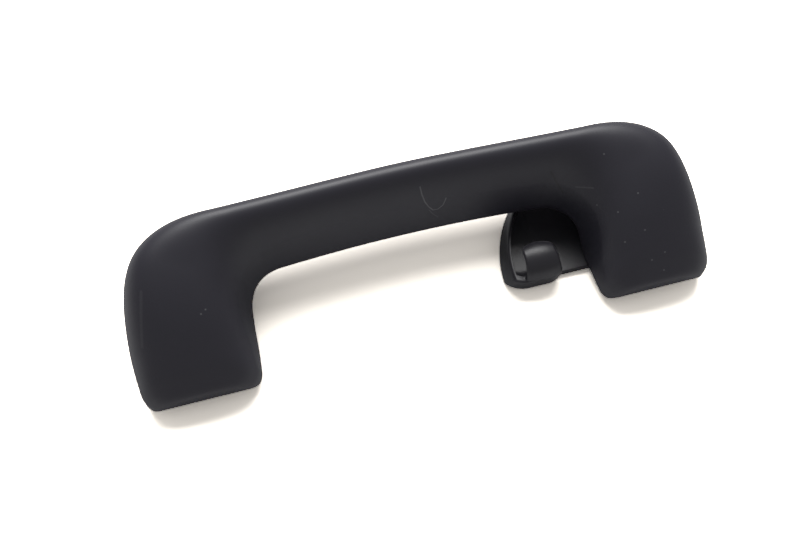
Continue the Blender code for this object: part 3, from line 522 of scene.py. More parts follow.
def arc_points(a, z, radius, start, stop):
    angles = [blend(start, stop, k / CORNER_STEPS) for k in range(CORNER_STEPS + 1)]
    return [(a + radius * math.cos(t), z + radius * math.sin(t)) for t in angles]


def section(width, top_outer, top_inner, bottom, outer_radius, inner_radius, under_radius, crown):
    """Section of the grip: (distance from its outer side, height), clockwise with the outer side left."""
    low_side = min(top_outer, top_inner) - bottom
    outer_radius = min(outer_radius, width * TOP_RADIUS_LIMIT, low_side * TOP_RADIUS_LIMIT)
    inner_radius = min(inner_radius, width * TOP_RADIUS_LIMIT, low_side * TOP_RADIUS_LIMIT)
    under_radius = min(under_radius, width * UNDER_WIDTH_LIMIT, low_side * UNDER_HEIGHT_LIMIT)
    tilt = math.atan2(top_outer - top_inner, width)
    upward = math.pi / 2 - tilt

    def top(a):
        return top_outer - (top_outer - top_inner) * a / width

    outer_centre = (outer_radius, top(outer_radius) - outer_radius / math.cos(tilt))
    inner_centre = (width - inner_radius, top(width - inner_radius) - inner_radius / math.cos(tilt))
    first = arc_points(*outer_centre, outer_radius, math.pi, upward)
    second = arc_points(*inner_centre, inner_radius, upward, 0.0)
    start, stop = first[-1], second[0]
    between = [
        (blend(start[0], stop[0], k / CROWN_STEPS), blend(start[1], stop[1], k / CROWN_STEPS))
        for k in range(1, CROWN_STEPS)
    ]
    upper = first + between + second
    middle = (outer_centre[1] + inner_centre[1]) / 2
    crowned = []
    for a, z in upper:
        rise = crown * (1 - (2 * a / width - 1) ** 2)
        crowned.append((a, z + rise * ease((z - middle) / outer_radius)))
    lower = arc_points(width - under_radius, bottom + under_radius, under_radius, 0.0, -math.pi / 2)
    lower += arc_points(under_radius, bottom + under_radius, under_radius, -math.pi / 2, -math.pi)
    return crowned + lower


def lean_in(a, z, width):
    """Draft: above the rim both sides lean in."""
    above = max(z - DRAFT_START, 0.0)
    middle = width / 2
    if a < middle:
        return a + above * OUTER_DRAFT * (1 - a / middle)
    return a - above * INNER_DRAFT * (a / middle - 1)


def even_steps(points):
    """The same line with its points an equal way apart."""
    lengths = [0.0]
    for a, b in zip(points, points[1:]):
        lengths.append(lengths[-1] + math.dist(a, b))
    even = []
    k = 0
    for n in range(len(points)):
        wanted = lengths[-1] * n / (len(points) - 1)
        while k < len(points) - 2 and lengths[k + 1] < wanted:
            k += 1
        share = (wanted - lengths[k]) / (lengths[k + 1] - lengths[k])
        before, after = points[k], points[k + 1]
        even.append((blend(before[0], after[0], share), blend(before[1], after[1], share)))
    return even


def rounder(line, passes, swell):
    """The line rounded off, and swollen by what that takes off it."""
    for _ in range(passes):
        middle = [((a[0] + 2 * b[0] + c[0]) / 4, (a[1] + 2 * b[1] + c[1]) / 4)
                  for a, b, c in zip(line, line[1:], line[2:])]
        line = [line[0]] + middle + [line[-1]]
    last = len(line) - 1
    return [(a, z + swell * math.sin(math.pi * n / last)) for n, (a, z) in enumerate(line)]


def round_over(outline, distance):
    """Let the skin of the grip run rounder over its crest, the bar more so than the legs."""
    count = 2 * CORNER_STEPS + CROWN_STEPS + 1
    upper = even_steps(outline[:count])
    on_leg = rounder(upper, LEG_CREST_PASSES, LEG_CREST_SWELL)
    on_bar = rounder(upper, BAR_CREST_PASSES, BAR_CREST_SWELL)
    share = ease((distance - CREST_CHANGE_FROM) / (CREST_CHANGE_TO - CREST_CHANGE_FROM))
    line = [(blend(a[0], b[0], share), blend(a[1], b[1], share)) for a, b in zip(on_leg, on_bar)]
    return line + outline[count:]


def placed_ring(outer, inner, outline, rounded=False):
    """Put a section between a point of the outer edge and one of the inner edge."""
    across = inner - outer
    width = across.length
    across.normalize()
    leaning = [(lean_in(a, z, width), z) for a, z in outline]
    if rounded:
        leaning = round_over(leaning, outer.y)
    return [(outer.x + across.x * a, from_foot(outer.y + across.y * a), z) for a, z in leaning]


def foot_rings(outer, inner):
    """Rings from the end of the foot to the hinge, rounded round the hinge axis."""
    rings = []
    for k in range(FOOT_STATIONS):
        angle = blend(FOOT_FACET_ANGLE, FOOT_LAST_ANGLE, k / (FOOT_STATIONS - 1))
        distance = HINGE_SETBACK - FOOT_SWEEP * math.cos(angle)
        cut = corner_cut(distance)
        a = Vector((edge_x(outer, distance) + cut, distance))
        b = Vector((edge_x(inner, distance) - cut, distance))
        outline = section((b - a).length, foot_top(distance), foot_top(distance), foot_bottom(distance),
                          LEG_OUTER_RADIUS, LEG_INNER_RADIUS, RIM_RADIUS, FACE_CROWN)
        rings.append(placed_ring(a, b, outline, rounded=True))
    return rings, distance


def grip_rings():
    """Rings of the left half of the grip, from the foot to the middle of the bar."""
    outer, inner = outer_edge(), inner_edge()
    rings, reached = foot_rings(outer, inner)
    bar_begins = HANDLE_DEPTH - CORNER_DROP
    for a, b in zip(outer, inner):
        if min(a.y, b.y) <= reached * FIRST_LEG_RING:
            continue
        share = ease((a.y - WIDEST_AT) / (bar_begins - WIDEST_AT))
        rise = BAR_RISE * (1 - (2 * a.x / HANDLE_LENGTH) ** 2)
        bottom = blend(foot_bottom(a.y), BAR_CLEARANCE + rise, share)
        outline = section(
            (b - a).length, foot_top(a.y) + rise, foot_top(b.y) + rise, bottom,
            blend(LEG_OUTER_RADIUS, BAR_BACK_RADIUS, share),
            blend(LEG_INNER_RADIUS, BAR_FRONT_RADIUS, share),
            blend(RIM_RADIUS, BAR_UNDER_RADIUS, share), FACE_CROWN)
        rings.append(placed_ring(a, b, outline, rounded=True))
    return rings


def pocket_rings(side):
    """Rings of the hollow in one leg, open at the back. Side is -1 for the left leg, 1 for the right."""
    outer, inner = outer_edge(), inner_edge()
    inner_limit = inner[0].x - SIDE_WALL
    places = []
    for k in range(FOOT_STATIONS):
        angle = blend(FOOT_FACET_ANGLE, POCKET_LAST_ANGLE, k / (FOOT_STATIONS - 1))
        places.append(HINGE_SETBACK - POCKET_SWEEP * math.cos(angle))
    for k in range(1, LEG_STATIONS + 1):
        places.append(blend(places[FOOT_STATIONS - 1], POCKET_DEPTH, k / LEG_STATIONS))
    rings = []
    for distance in places:
        top = face_height(distance) - FACE_WALL
        if distance < HINGE_SETBACK:
            top = min(top, HINGE_HEIGHT + sweep_half_height(distance, POCKET_SWEEP))
        a = Vector((edge_x(outer, distance) + SIDE_WALL, distance))
        b = Vector((min(edge_x(inner, distance) - SIDE_WALL, inner_limit), distance))
        radius = blend(POCKET_FOOT_RADIUS, POCKET_FAR_RADIUS, distance / POCKET_DEPTH)
        outline = section((b - a).length, top, top, -RIM_HEIGHT, radius, radius, RIM_RADIUS, 0.0)
        ring = placed_ring(a, b, outline)
        if side > 0:
            ring = [(-x, y, z) for x, y, z in ring[::-1]]
        rings.append(ring)
    return rings


def ledge_outline():
    """The ledge in the end wall that drives the spring and the damper."""
    angles = [blend(LEDGE_FROM, LEDGE_TO, k / LEDGE_STEPS) for k in range(LEDGE_STEPS + 1)]
    outline = []
    for radius, way in ((FOOT_SWEEP, angles), (LEDGE_RADIUS, angles[::-1])):
        for a in way:
            outline.append((HINGE_Y + radius * math.cos(a), HINGE_HEIGHT + radius * math.sin(a)))
    return outline


def relief_outline():
    """Where the end wall's lower edge is cut back to swing clear under the hinge."""
    reach = 2 * HINGE_HEIGHT
    y = HINGE_Y + reach * math.cos(RELIEF_ANGLE)
    return [(HINGE_Y, HINGE_HEIGHT), (y, HINGE_HEIGHT + reach * math.sin(RELIEF_ANGLE)),
            (y, -HINGE_HEIGHT), (HINGE_Y, -HINGE_HEIGHT)]


def pocket_tool(side):
    """The hollow of one leg and its bores, less the bosses, the rib and the ledge that stay in it."""
    centre = side * LEG_CENTRE
    half = BOSS_SPAN / 2
    pocket = triangulate(skin("pocket", pocket_rings(side)))
    for kept in (
            rod_x("boss", BOSS_RADIUS, centre - 2 * half, centre - half),
            rod_x("boss", BOSS_RADIUS, centre + half, centre + 2 * half),
            block("rib", (centre - BOSS_SPAN, from_foot(RIB_AT - RIB_THICKNESS / 2), RIB_BOTTOM),
                  (centre + BOSS_SPAN, from_foot(RIB_AT + RIB_THICKNESS / 2), CREST_HEIGHT)),
            prism_x("ledge", ledge_outline(), centre - EAR_INNER, centre + EAR_INNER)):
        combine(pocket, kept, "DIFFERENCE")
    width = EAR_INNER + GAP
    reach = half + BUSH_DEPTH + GAP
    entry = sorted((centre, centre + side * (half + LEG_WIDTH / 2)))
    for cleared in (
            prism_x("relief", relief_outline(), centre - width, centre + width),
            rod_x("flanges", BUSH_FLANGE_RADIUS + GAP, centre - half, centre + half),
            rod_x("bore", BUSH_BORE, centre - reach, centre + reach),
            rod_x("entry", PIN_RADIUS + GAP, *entry)):
        combine(pocket, cleared, "UNION")
    return pocket


def make_grip():
    """The soft-touch moulding, with its hollow legs."""
    grip = skin("grip_moulding", grip_rings(), cap_end=False)
    mirror = grip.modifiers.new("other half", "MIRROR")
    mirror.use_axis = (True, False, False)
    mirror.merge_threshold = MIRROR_MERGE
    grip.modifiers.new("flat faces", "TRIANGULATE")
    apply_modifiers(grip)
    for side in (-1, 1):
        combine(grip, pocket_tool(side), "DIFFERENCE")
    return smooth(grip)


def crossing(centre_a, radius_a, centre_b, radius_b):
    """Where two circles in plan cross, on their front side."""
    apart = centre_b - centre_a
    distance = apart.length
    along = (distance * distance + radius_a * radius_a - radius_b * radius_b) / (2 * distance)
    off = math.sqrt(radius_a * radius_a - along * along)
    apart.normalize()
    return centre_a + apart * along + Vector((-apart.y, apart.x)) * off


def plan_arc(centre, radius, start, stop, include_end=False):
    """Points on a circle in plan from one place to another, the short way round."""
    low = math.atan2(start.y - centre.y, start.x - centre.x)
    turn = math.atan2(stop.y - centre.y, stop.x - centre.x) - low
    turn -= 2 * math.pi * round(turn / (2 * math.pi))
    count = HOOK_STEPS + (1 if include_end else 0)
    angles = [low + turn * k / HOOK_STEPS for k in range(count)]
    return [centre + Vector((math.cos(a), math.sin(a))) * radius for a in angles]


def hook_plan(flank_inset, nose_inset, nose_shift, right_x):
    """Plan of the hook's base: round flank, corner, round nose, then straight back to the tray's end."""
    flank_centre = Vector((side_x(FLANK_INSET), FLANK_AT))
    flank = FLANK_RADIUS - flank_inset
    turn_x = side_x(HOOK_SIDE_INSET + NOSE_TURN)
    left_centre = Vector((turn_x - NOSE_FLAT, NOSE_AT + NOSE_LEFT_RADIUS + nose_shift))
    right_centre = Vector((turn_x, NOSE_AT + NOSE_RIGHT_RADIUS + nose_shift))
    left, right = NOSE_LEFT_RADIUS - nose_inset, NOSE_RIGHT_RADIUS - nose_inset
    corner = crossing(flank_centre, flank, left_centre, left)
    away = TRAY_BACK - FLANK_AT
    back = Vector((flank_centre.x - math.sqrt(flank * flank - away * away), TRAY_BACK))
    reach = min(NOSE_TURN, right * NOSE_TURN_LIMIT)
    end = right_centre + Vector((reach, -math.sqrt(right * right - reach * reach)))
    plan = plan_arc(flank_centre, flank, back, corner)
    plan += plan_arc(left_centre, left, corner, left_centre - Vector((0, left)), True)
    plan += plan_arc(right_centre, right, right_centre - Vector((0, right)), end, True)
    return plan + [Vector((right_x, end.y)), Vector((right_x, TRAY_BACK))]


def upright_loft(name, levels):
    """Skin plans stacked in height: each level is (plan, height)."""
    return triangulate(skin(name, [[(p.x, from_foot(p.y), z) for p in plan] for plan, z in levels]))


def hook_base():
    """Outer form of the hook's base: a leaning flank and a nose that bulges over its foot."""
    levels = []
    top = RIDGE_HEIGHT - RIDGE_EDGE
    for k in range(HOOK_STEPS + 1):
        z = blend(ROOF_CLEARANCE, top, k / HOOK_STEPS)
        low = max(1 - z / NOSE_FULL_HEIGHT, 0.0)
        lean = FLANK_LEAN * (z / RIDGE_HEIGHT) ** FLANK_POWER
        levels.append((hook_plan(lean, NOSE_UNDERCUT * low**2, 0.0, side_x(HOOK_SIDE_INSET)), z))
    for k in range(1, RIDGE_STEPS + 1):
        angle = math.pi / 2 * k / RIDGE_STEPS
        edge = RIDGE_EDGE * (1 - math.cos(angle))
        z = top + RIDGE_EDGE * math.sin(angle)
        levels.append((hook_plan(FLANK_LEAN + edge, edge, 0.0, side_x(HOOK_SIDE_INSET)), z))
    return upright_loft("hook_base", levels)


def hook_hollow():
    """What is cut from the base: the trough, round at the foot of the nose, and the tray's floor."""
    radius = HOOK_RADIUS - HOOK_WALL
    floor = PLATE_THICKNESS - TROUGH_STEP
    levels = []
    for k in range(HOOK_STEPS + 1):
        angle = math.pi / 2 * k / HOOK_STEPS
        shift = radius * (1 - math.sin(angle))
        levels.append((hook_plan(RIDGE_WIDTH, HOOK_WALL, shift, side_x(HOOK_SIDE_INSET) + RIDGE_WIDTH),
                       floor + radius * (1 - math.cos(angle))))
    levels.append((levels[-1][0], HOOK_HEIGHT))
    hollow = upright_loft("hook_hollow", levels)
    for vertex in hollow.data.vertices:
        if vertex.co.y > from_foot(TRAY_BACK) - GAP:
            vertex.co.y += RIDGE_WIDTH
    return hollow


def strip_section(half, thick):
    """Section of the tongue: (place across it, depth under its outer face), crowned and round-edged."""
    edge = min(TONGUE_EDGE, thick / 2)
    side = []
    for k in range(STRIP_EDGE_STEPS + 1):
        angle = math.pi / 2 * k / STRIP_EDGE_STEPS
        side.append((half - edge + edge * math.cos(angle), TONGUE_CROWN + edge - edge * math.sin(angle)))
    top = []
    for k in range(1, 2 * STRIP_EDGE_STEPS):
        share = 1 - k / STRIP_EDGE_STEPS
        top.append(((half - edge) * share, TONGUE_CROWN * share * share))
    other = [(-x, inward) for x, inward in side[::-1]]
    nick = edge / 2
    under = [(-half, thick - nick), (-half + nick, thick), (half - nick, thick), (half, thick - nick)]
    return side + top + other + under


def hook_tongue():
    """The tongue: a rounded strip swept up round the nose and back over the trough."""
    centre_z = HOOK_HEIGHT - HOOK_RADIUS
    axis = NOSE_AT + HOOK_RADIUS
    middle = side_x(HOOK_SIDE_INSET + TONGUE_ROOT_WIDTH / 2)
    rings = []
    for k in range(TONGUE_STATIONS + 1):
        rise = 1 - (1 - k / TONGUE_STATIONS) ** TONGUE_CROWDING
        angle = blend(ROOT_ANGLE, TIP_ANGLE, rise)
        to_tip = (angle - TIP_ANGLE) * HOOK_RADIUS
        half = blend(TONGUE_ROOT_WIDTH, TONGUE_TIP_WIDTH, ease(rise)) / 2
        half -= TONGUE_CORNER_DEPTH * (1 - math.sqrt(1 - max(1 - to_tip / TONGUE_CORNER, 0.0) ** 2))
        thick = blend(HOOK_WALL, TIP_THICKNESS, rise)
        ring = []
        for x, inward in strip_section(half, thick):
            r = HOOK_RADIUS - inward
            ring.append((middle - TONGUE_SHIFT * rise + x, from_foot(axis + r * math.cos(angle)),
                         centre_z + r * math.sin(angle)))
        rings.append(ring)
    return triangulate(skin("hook_tongue", rings))


def ear_outline():
    """Side view of an ear: a round end on the hinge axis and a web down to the plate."""
    plate_top = PLATE_THICKNESS - HINGE_HEIGHT
    back = EAR_WEB_BACK - HINGE_SETBACK
    front = EAR_WEB_FRONT - HINGE_SETBACK
    tangent = math.atan2(plate_top, back) + math.acos(EAR_RADIUS / math.hypot(back, plate_top))
    outline = []
    for k in range(ROUND_STEPS + 1):
        angle = blend(tangent, EAR_UNDERCUT + 2 * math.pi, k / ROUND_STEPS)
        outline.append((EAR_RADIUS * math.cos(angle), EAR_RADIUS * math.sin(angle)))
    sunk = plate_top - PLATE_THICKNESS / 2
    outline += [(front, plate_top), (front, sunk), (back, sunk), (back, plate_top)]
    return [(HINGE_Y + y, HINGE_HEIGHT + z) for y, z in outline]


def bearing_plate():
    """The right bracket's plate with rounded corners, and the tray that carries the hook."""
    low = Vector((LEG_CENTRE - PLATE_WIDTH / 2 + PLATE_CORNER, from_foot(PLATE_FRONT) + PLATE_CORNER))
    high = Vector((LEG_CENTRE + PLATE_WIDTH / 2 - PLATE_CORNER, from_foot(PLATE_BACK) - PLATE_CORNER))
    plan = []
    for quarter, (x, y) in enumerate(((high.x, high.y), (low.x, high.y), (low.x, low.y), (high.x, low.y))):
        start = quarter * math.pi / 2
        plan += arc_points(x, y, PLATE_CORNER, start, start + math.pi / 2)
    plate = skin("plate", [[(x, y, z) for x, y in plan] for z in (0.0, PLATE_THICKNESS)])
    tray = block("tray", (side_x(HOOK_SIDE_INSET) - NOSE_TURN, from_foot(PLATE_FRONT), 0.0),
                 (LEG_CENTRE, from_foot(TRAY_BACK - GAP), PLATE_THICKNESS))
    return combine(plate, tray, "UNION")


def make_hook_bracket():
    """The right bearing bracket and its coat hook, one moulding with softly rounded edges."""
    bracket = bearing_plate()
    bracket.name = "hook_moulding"
    for end in (-1, 1):
        near, far = sorted((LEG_CENTRE + end * EAR_INNER, LEG_CENTRE + end * EAR_OUTER))
        combine(bracket, prism_x("ear", ear_outline(), near, far), "UNION")
    half = EAR_INNER + EAR_THICKNESS / 2
    bridge_bottom = HINGE_HEIGHT - COIL_RADIUS + WIRE_RADIUS + GAP
    bridge = block("bridge", (LEG_CENTRE - half, from_foot(BRIDGE_FRONT), bridge_bottom),
                   (LEG_CENTRE + half, from_foot(BRIDGE_FRONT + BRIDGE_DEPTH), BRIDGE_TOP))
    combine(bracket, bridge, "UNION")
    screw = (LEG_CENTRE, from_foot(SCREW_BOSS_AT))
    boss = rod_z("screw_boss", SCREW_BOSS_RADIUS, PLATE_THICKNESS / 2, SCREW_BOSS_HEIGHT, *screw)
    combine(bracket, boss, "UNION")
    hook = combine(hook_base(), hook_hollow(), "DIFFERENCE")
    combine(hook, hook_tongue(), "UNION")
    combine(bracket, hook, "UNION")
    tall = 2 * SCREW_BOSS_HEIGHT
    buffer = (LEG_CENTRE, from_foot(RIB_AT))
    for cut in (
            rod_x("pin_bore", PIN_RADIUS + GAP, LEG_CENTRE - half * 2, LEG_CENTRE + half * 2),
            rod_z("screw_seat", SCREW_HEAD_RADIUS, SCREW_SEAT_HEIGHT, tall, *screw),
            rod_z("sleeve_hole", SLEEVE_RADIUS + GAP, -tall, tall, *screw),
            rod_z("stem_hole", BUFFER_STEM_RADIUS + GAP, -tall, tall, *buffer)):
        combine(bracket, cut, "DIFFERENCE")
    return soften(bracket)


def soften(item):
    """Round all edges of a moulding a little, as its tool leaves them."""
    remesh = item.modifiers.new("even skin", "REMESH")
    remesh.mode = "VOXEL"
    remesh.voxel_size = MOULD_VOXEL
    relax = item.modifiers.new("soft edges", "SMOOTH")
    relax.iterations = MOULD_SMOOTHING
    thin = item.modifiers.new("fewer faces", "DECIMATE")
    thin.ratio = MOULD_KEPT_FACES
    apply_modifiers(item)
    item.data.shade_smooth()
    return item


def spring_path():
    """The return spring's wire: an arm under the bridge, the coil, and a tail under the ledge."""
    length = COIL_TURNS * COIL_PITCH
    count = COIL_TURNS * COIL_STEPS
    span = 2 * math.pi * COIL_TURNS + (3 * math.pi / 2 - SPRING_TAIL_ANGLE)
    tail_at = -EAR_INNER + SPRING_END_GAP + WIRE_RADIUS
    arm_at = tail_at + COIL_PITCH + length
    points = [Vector((arm_at, reach, -COIL_RADIUS)) for reach in (SPRING_ARM_REACH, SPRING_ARM_REACH / 2)]
    for k in range(count + 1):
        angle = -math.pi / 2 - span * k / count
        points.append(Vector((arm_at - length * k / count, COIL_RADIUS * math.cos(angle),
                              COIL_RADIUS * math.sin(angle))))
    for reach in (SPRING_TAIL_BEND, SPRING_TAIL_REACH):
        out, up = reach * math.cos(SPRING_TAIL_ANGLE), reach * math.sin(SPRING_TAIL_ANGLE)
        points.append(Vector((tail_at, out, up)))
    return [point + Vector((-LEG_CENTRE, HINGE_Y, HINGE_HEIGHT)) for point in points]


class Nodes:
    """A short way to write one node tree."""

    def __init__(self, tree):
        self.tree = tree

    def plug(self, socket, value):
        if isinstance(value, bpy.types.NodeSocket):
            self.tree.links.new(value, socket)
        else:
            socket.default_value = value

    def fill(self, node, inputs):
        for name, value in inputs.items():
            self.plug(node.inputs[name], value)
        return node

    def add(self, kind, inputs=None, **settings):
        node = self.tree.nodes.new(kind)
        for name, value in settings.items():
            setattr(node, name, value)
        return self.fill(node, inputs or {})

    def math(self, operation, a, b, clamp=False):
        return self.add("ShaderNodeMath", {0: a, 1: b}, operation=operation, use_clamp=clamp).outputs[0]

    def vector(self, operation, a, b):
        return self.add("ShaderNodeVectorMath", {0: a, 1: b}, operation=operation)

    def ramp(self, value, low, high, to_low=0.0, to_high=1.0):
        node = self.add("ShaderNodeMapRange", {
            "Value": value, "From Min": low, "From Max": high, "To Min": to_low, "To Max": to_high})
        node.interpolation_type = "SMOOTHSTEP"
        return node.outputs["Result"]

    def mix(self, share, a, b):
        return self.add("ShaderNodeMix", {0: share, 6: a, 7: b}, data_type="RGBA").outputs[2]

    def noise(self, vector, scale, detail=2.0, roughness=0.5):
        return self.add("ShaderNodeTexNoise", {
            "Vector": vector, "Scale": scale, "Detail": detail, "Roughness": roughness}).outputs[0]

    def group(self, tree, **inputs):
        named = {name.replace("_", " ").title(): value for name, value in inputs.items()}
        return self.add("ShaderNodeGroup", named, node_tree=tree)


def wire_group(material):
    """Geometry nodes that sweep a round wire along the edges of a mesh."""
    group = bpy.data.node_groups.new("wire_along_path", "GeometryNodeTree")
    group.interface.new_socket("Path", in_out="INPUT", socket_type="NodeSocketGeometry")
    radius = group.interface.new_socket("Wire Radius", in_out="INPUT", socket_type="NodeSocketFloat")
    steps = group.interface.new_socket("Wire Steps", in_out="INPUT", socket_type="NodeSocketInt")
    group.interface.new_socket("Wire", in_out="OUTPUT", socket_type="NodeSocketGeometry")
    nodes = Nodes(group)
    source = nodes.add("NodeGroupInput")
    path = nodes.add("GeometryNodeMeshToCurve", {"Mesh": source.outputs["Path"]})
    profile = nodes.add("GeometryNodeCurvePrimitiveCircle", {
        "Resolution": source.outputs["Wire Steps"], "Radius": source.outputs["Wire Radius"]})
    sweep = nodes.add("GeometryNodeCurveToMesh", {
        "Curve": path.outputs["Curve"], "Profile Curve": profile.outputs["Curve"], "Fill Caps": True})
    real = nodes.add("GeometryNodeRealizeInstances", {"Geometry": sweep.outputs["Mesh"]})
    finish = nodes.add("GeometryNodeSetMaterial", {
        "Geometry": real.outputs["Geometry"], "Material": material})
    nodes.add("NodeGroupOutput", {"Wire": finish.outputs["Geometry"]})
    return group, radius.identifier, steps.identifier


def make_spring(material):
    points = spring_path()
    spring = add_mesh("return_spring_wire", points, [], [(k, k + 1) for k in range(len(points) - 1)])
    group, radius, steps = wire_group(material)
    sweep = spring.modifiers.new("wire", "NODES")
    sweep.node_group = group
    sweep[radius] = WIRE_RADIUS
    sweep[steps] = WIRE_STEPS
    return smooth(apply_modifiers(spring), WIRE_SHARP_EDGE)


def new_group(name, inputs, outputs):
    """An empty shader node group. An input with no default is a vector, and every output is a number."""
    group = bpy.data.node_groups.new(name, "ShaderNodeTree")
    for label, default in inputs.items():
        kind = "NodeSocketVector" if default is None else "NodeSocketFloat"
        socket = group.interface.new_socket(label, in_out="INPUT", socket_type=kind)
        if default is not None:
            socket.default_value = default
    for label in outputs:
        group.interface.new_socket(label, in_out="OUTPUT", socket_type="NodeSocketFloat")
    nodes = Nodes(group)
    return group, nodes, nodes.add("NodeGroupInput"), nodes.add("NodeGroupOutput")


def grain_group():
    """Fine moulded grain: a height for a Bump, a slow change in gloss and one in colour."""
    group, nodes, source, sink = new_group(
        "moulded_grain", {"Vector": None, "Grain Size": 0.0004, "Gloss Change": 0.06},
        ["Height", "Roughness Shift", "Shade"])
    place = source.outputs["Vector"]
    scale = nodes.math("DIVIDE", 1.0, source.outputs["Grain Size"])
    fine = nodes.noise(place, scale, detail=3.0, roughness=0.6)
    wide = nodes.noise(place, GLOSS_WAVES)
    shift = nodes.math("MULTIPLY", nodes.math("SUBTRACT", wide, 0.5), source.outputs["Gloss Change"])
    shade = nodes.noise(place, SHADE_WAVES, detail=4.0, roughness=0.65)
    nodes.fill(sink, {"Height": fine, "Roughness Shift": shift, "Shade": shade})
    return group


def scratch_group():
    """How strongly a straight scratch between two places marks the surface."""
    group, nodes, source, sink = new_group(
        "scratch", {"Vector": None, "Start": None, "End": None, "Width": 0.0003}, ["Mask"])
    start = source.outputs["Start"]
    away = nodes.vector("SUBTRACT", source.outputs["Vector"], start).outputs[0]
    along = nodes.vector("SUBTRACT", source.outputs["End"], start).outputs[0]
    reach = nodes.vector("DOT_PRODUCT", along, along).outputs["Value"]
    passed = nodes.vector("DOT_PRODUCT", away, along).outputs["Value"]
    share = nodes.math("DIVIDE", passed, reach, clamp=True)
    spread = nodes.add("ShaderNodeCombineXYZ", {0: share, 1: share, 2: share}).outputs[0]
    nearest = nodes.vector("MULTIPLY", along, spread).outputs[0]
    gap = nodes.vector("DISTANCE", away, nearest).outputs["Value"]
    far = nodes.math("DIVIDE", gap, source.outputs["Width"])
    nodes.fill(sink, {"Mask": nodes.ramp(far, 1.0, SCRATCH_CORE)})
    return group


def dust_group():
    """Small pale specks scattered over a surface that has been handled and stored."""
    group, nodes, source, sink = new_group(
        "dust", {"Vector": None, "Spacing": 0.006, "Share": 0.3}, ["Mask"])
    scale = nodes.math("DIVIDE", 1.0, source.outputs["Spacing"])
    cells = nodes.add("ShaderNodeTexVoronoi", {"Vector": source.outputs["Vector"], "Scale": scale})
    lot = nodes.add("ShaderNodeSeparateColor", {0: cells.outputs["Color"]})
    size = nodes.ramp(lot.outputs[1], 0.0, 1.0, DUST_SMALLEST, DUST_LARGEST)
    speck = nodes.ramp(nodes.math("DIVIDE", cells.outputs["Distance"], size), 1.0, DUST_CORE)
    kept = nodes.math("LESS_THAN", lot.outputs[0], source.outputs["Share"])
    faint = nodes.math("MULTIPLY", nodes.math("MULTIPLY", speck, kept), lot.outputs[2])
    nodes.fill(sink, {"Mask": faint})
    return group


def new_material(name):
    material = bpy.data.materials.new(name)
    material.use_nodes = True
    nodes = Nodes(material.node_tree)
    shader = material.node_tree.nodes["Principled BSDF"]
    return material, nodes, shader


def new_finish(name, grain, colour, shade, roughness, **grain_inputs):
    """A finish of one colour with the grain's slow changes in its colour and gloss."""
    material, nodes, shader = new_material(name)
    place = nodes.add("ShaderNodeTexCoord").outputs["Object"]
    detail = nodes.group(grain, vector=place, **grain_inputs)
    darker = (*[shade * part for part in colour], 1.0)
    nodes.fill(shader, {
        "Base Color": nodes.mix(detail.outputs["Shade"], darker, (*colour, 1.0)),
        "Roughness": nodes.math("ADD", detail.outputs["Roughness Shift"], roughness)})
    return material, nodes, shader, detail


def plain_metal(name, grain, colour, roughness):
    material, nodes, shader, _ = new_finish(name, grain, colour, METAL_SHADE, roughness)
    nodes.fill(shader, {"Metallic": 1.0})
    return material


def moulded_plastic(name, grain, colour, roughness, specular, grain_size, bump):
    """A moulded plastic with its grain."""
    material, nodes, shader, detail = new_finish(
        name, grain, colour, PLASTIC_SHADE, roughness, grain_size=grain_size)
    surface = nodes.add("ShaderNodeBump", {
        "Height": detail.outputs["Height"], "Strength": bump, "Distance": grain_size})
    nodes.fill(shader, {"Specular IOR Level": specular, "Normal": surface.outputs["Normal"]})
    return material


def soft_touch_material(grip, grain, scratch, dust):
    """Matt blue-black soft-touch skin with the scratches and specks that the photograph shows."""
    material, nodes, shader = new_material("soft_touch")
    place = nodes.add("ShaderNodeTexCoord").outputs["Object"]
    detail = nodes.group(grain, vector=place, grain_size=SKIN_GRAIN)
    bpy.context.view_layer.update()
    view = camera_matrix()
    pixels_away = PHOTO_WIDTH * LENS_MM / SENSOR_MM

    def on_skin(pixel):
        """The place on the grip that shows at a pixel of the photograph."""
        sight = Vector((pixel[0] - PHOTO_WIDTH / 2, PHOTO_HEIGHT / 2 - pixel[1], -pixels_away))
        return grip.ray_cast(view.translation, view.to_3x3() @ sight.normalized())[1]

    def mark(start, end, width):
        made = nodes.group(scratch, vector=place, start=on_skin(start), end=on_skin(end), width=width)
        return made.outputs["Mask"]

    def course(pixels, parts, width, strength):
        steps = []
        for start, end in zip(pixels, pixels[1:]):
            steps += [Vector(start).lerp(Vector(end), k / parts) for k in range(parts)]
        steps.append(Vector(pixels[-1]))
        mask = 0.0
        for start, end in zip(steps, steps[1:]):
            mask = nodes.math("MAXIMUM", mask, mark(start, end, width))
        return nodes.math("MULTIPLY", mask, strength)

    specks = 0.0
    for pixel in SPECKS:
        specks = nodes.math("MAXIMUM", specks, mark(pixel, pixel, SPECK_WIDTH))
    specks = nodes.math("MULTIPLY", specks, SPECK_STRENGTH)
    dusty = nodes.math("MULTIPLY", nodes.group(dust, vector=place).outputs["Mask"], DUST_STRENGTH)
    light = nodes.math("MAXIMUM", specks, dusty)
    for pale in PALE_MARKS:
        light = nodes.math("MAXIMUM", light, course(*pale))
    dark = course(*DARK_MARK)
    skin_colour = nodes.mix(detail.outputs["Shade"], SKIN_DARK, SKIN_PALE)
    worn = nodes.mix(light, skin_colour, RUBBED_COLOUR)
    height = nodes.math("SUBTRACT", detail.outputs["Height"], nodes.math("MAXIMUM", light, dark))
    surface = nodes.add("ShaderNodeBump", {"Height": height, "Strength": SKIN_BUMP, "Distance": SKIN_GRAIN})
    nodes.fill(shader, {
        "Base Color": nodes.mix(dark, worn, DIRT_COLOUR),
        "Roughness": nodes.math("ADD", detail.outputs["Roughness Shift"], SKIN_ROUGHNESS),
        "Specular IOR Level": SKIN_SPECULAR,
        "Normal": surface.outputs["Normal"]})
    return material


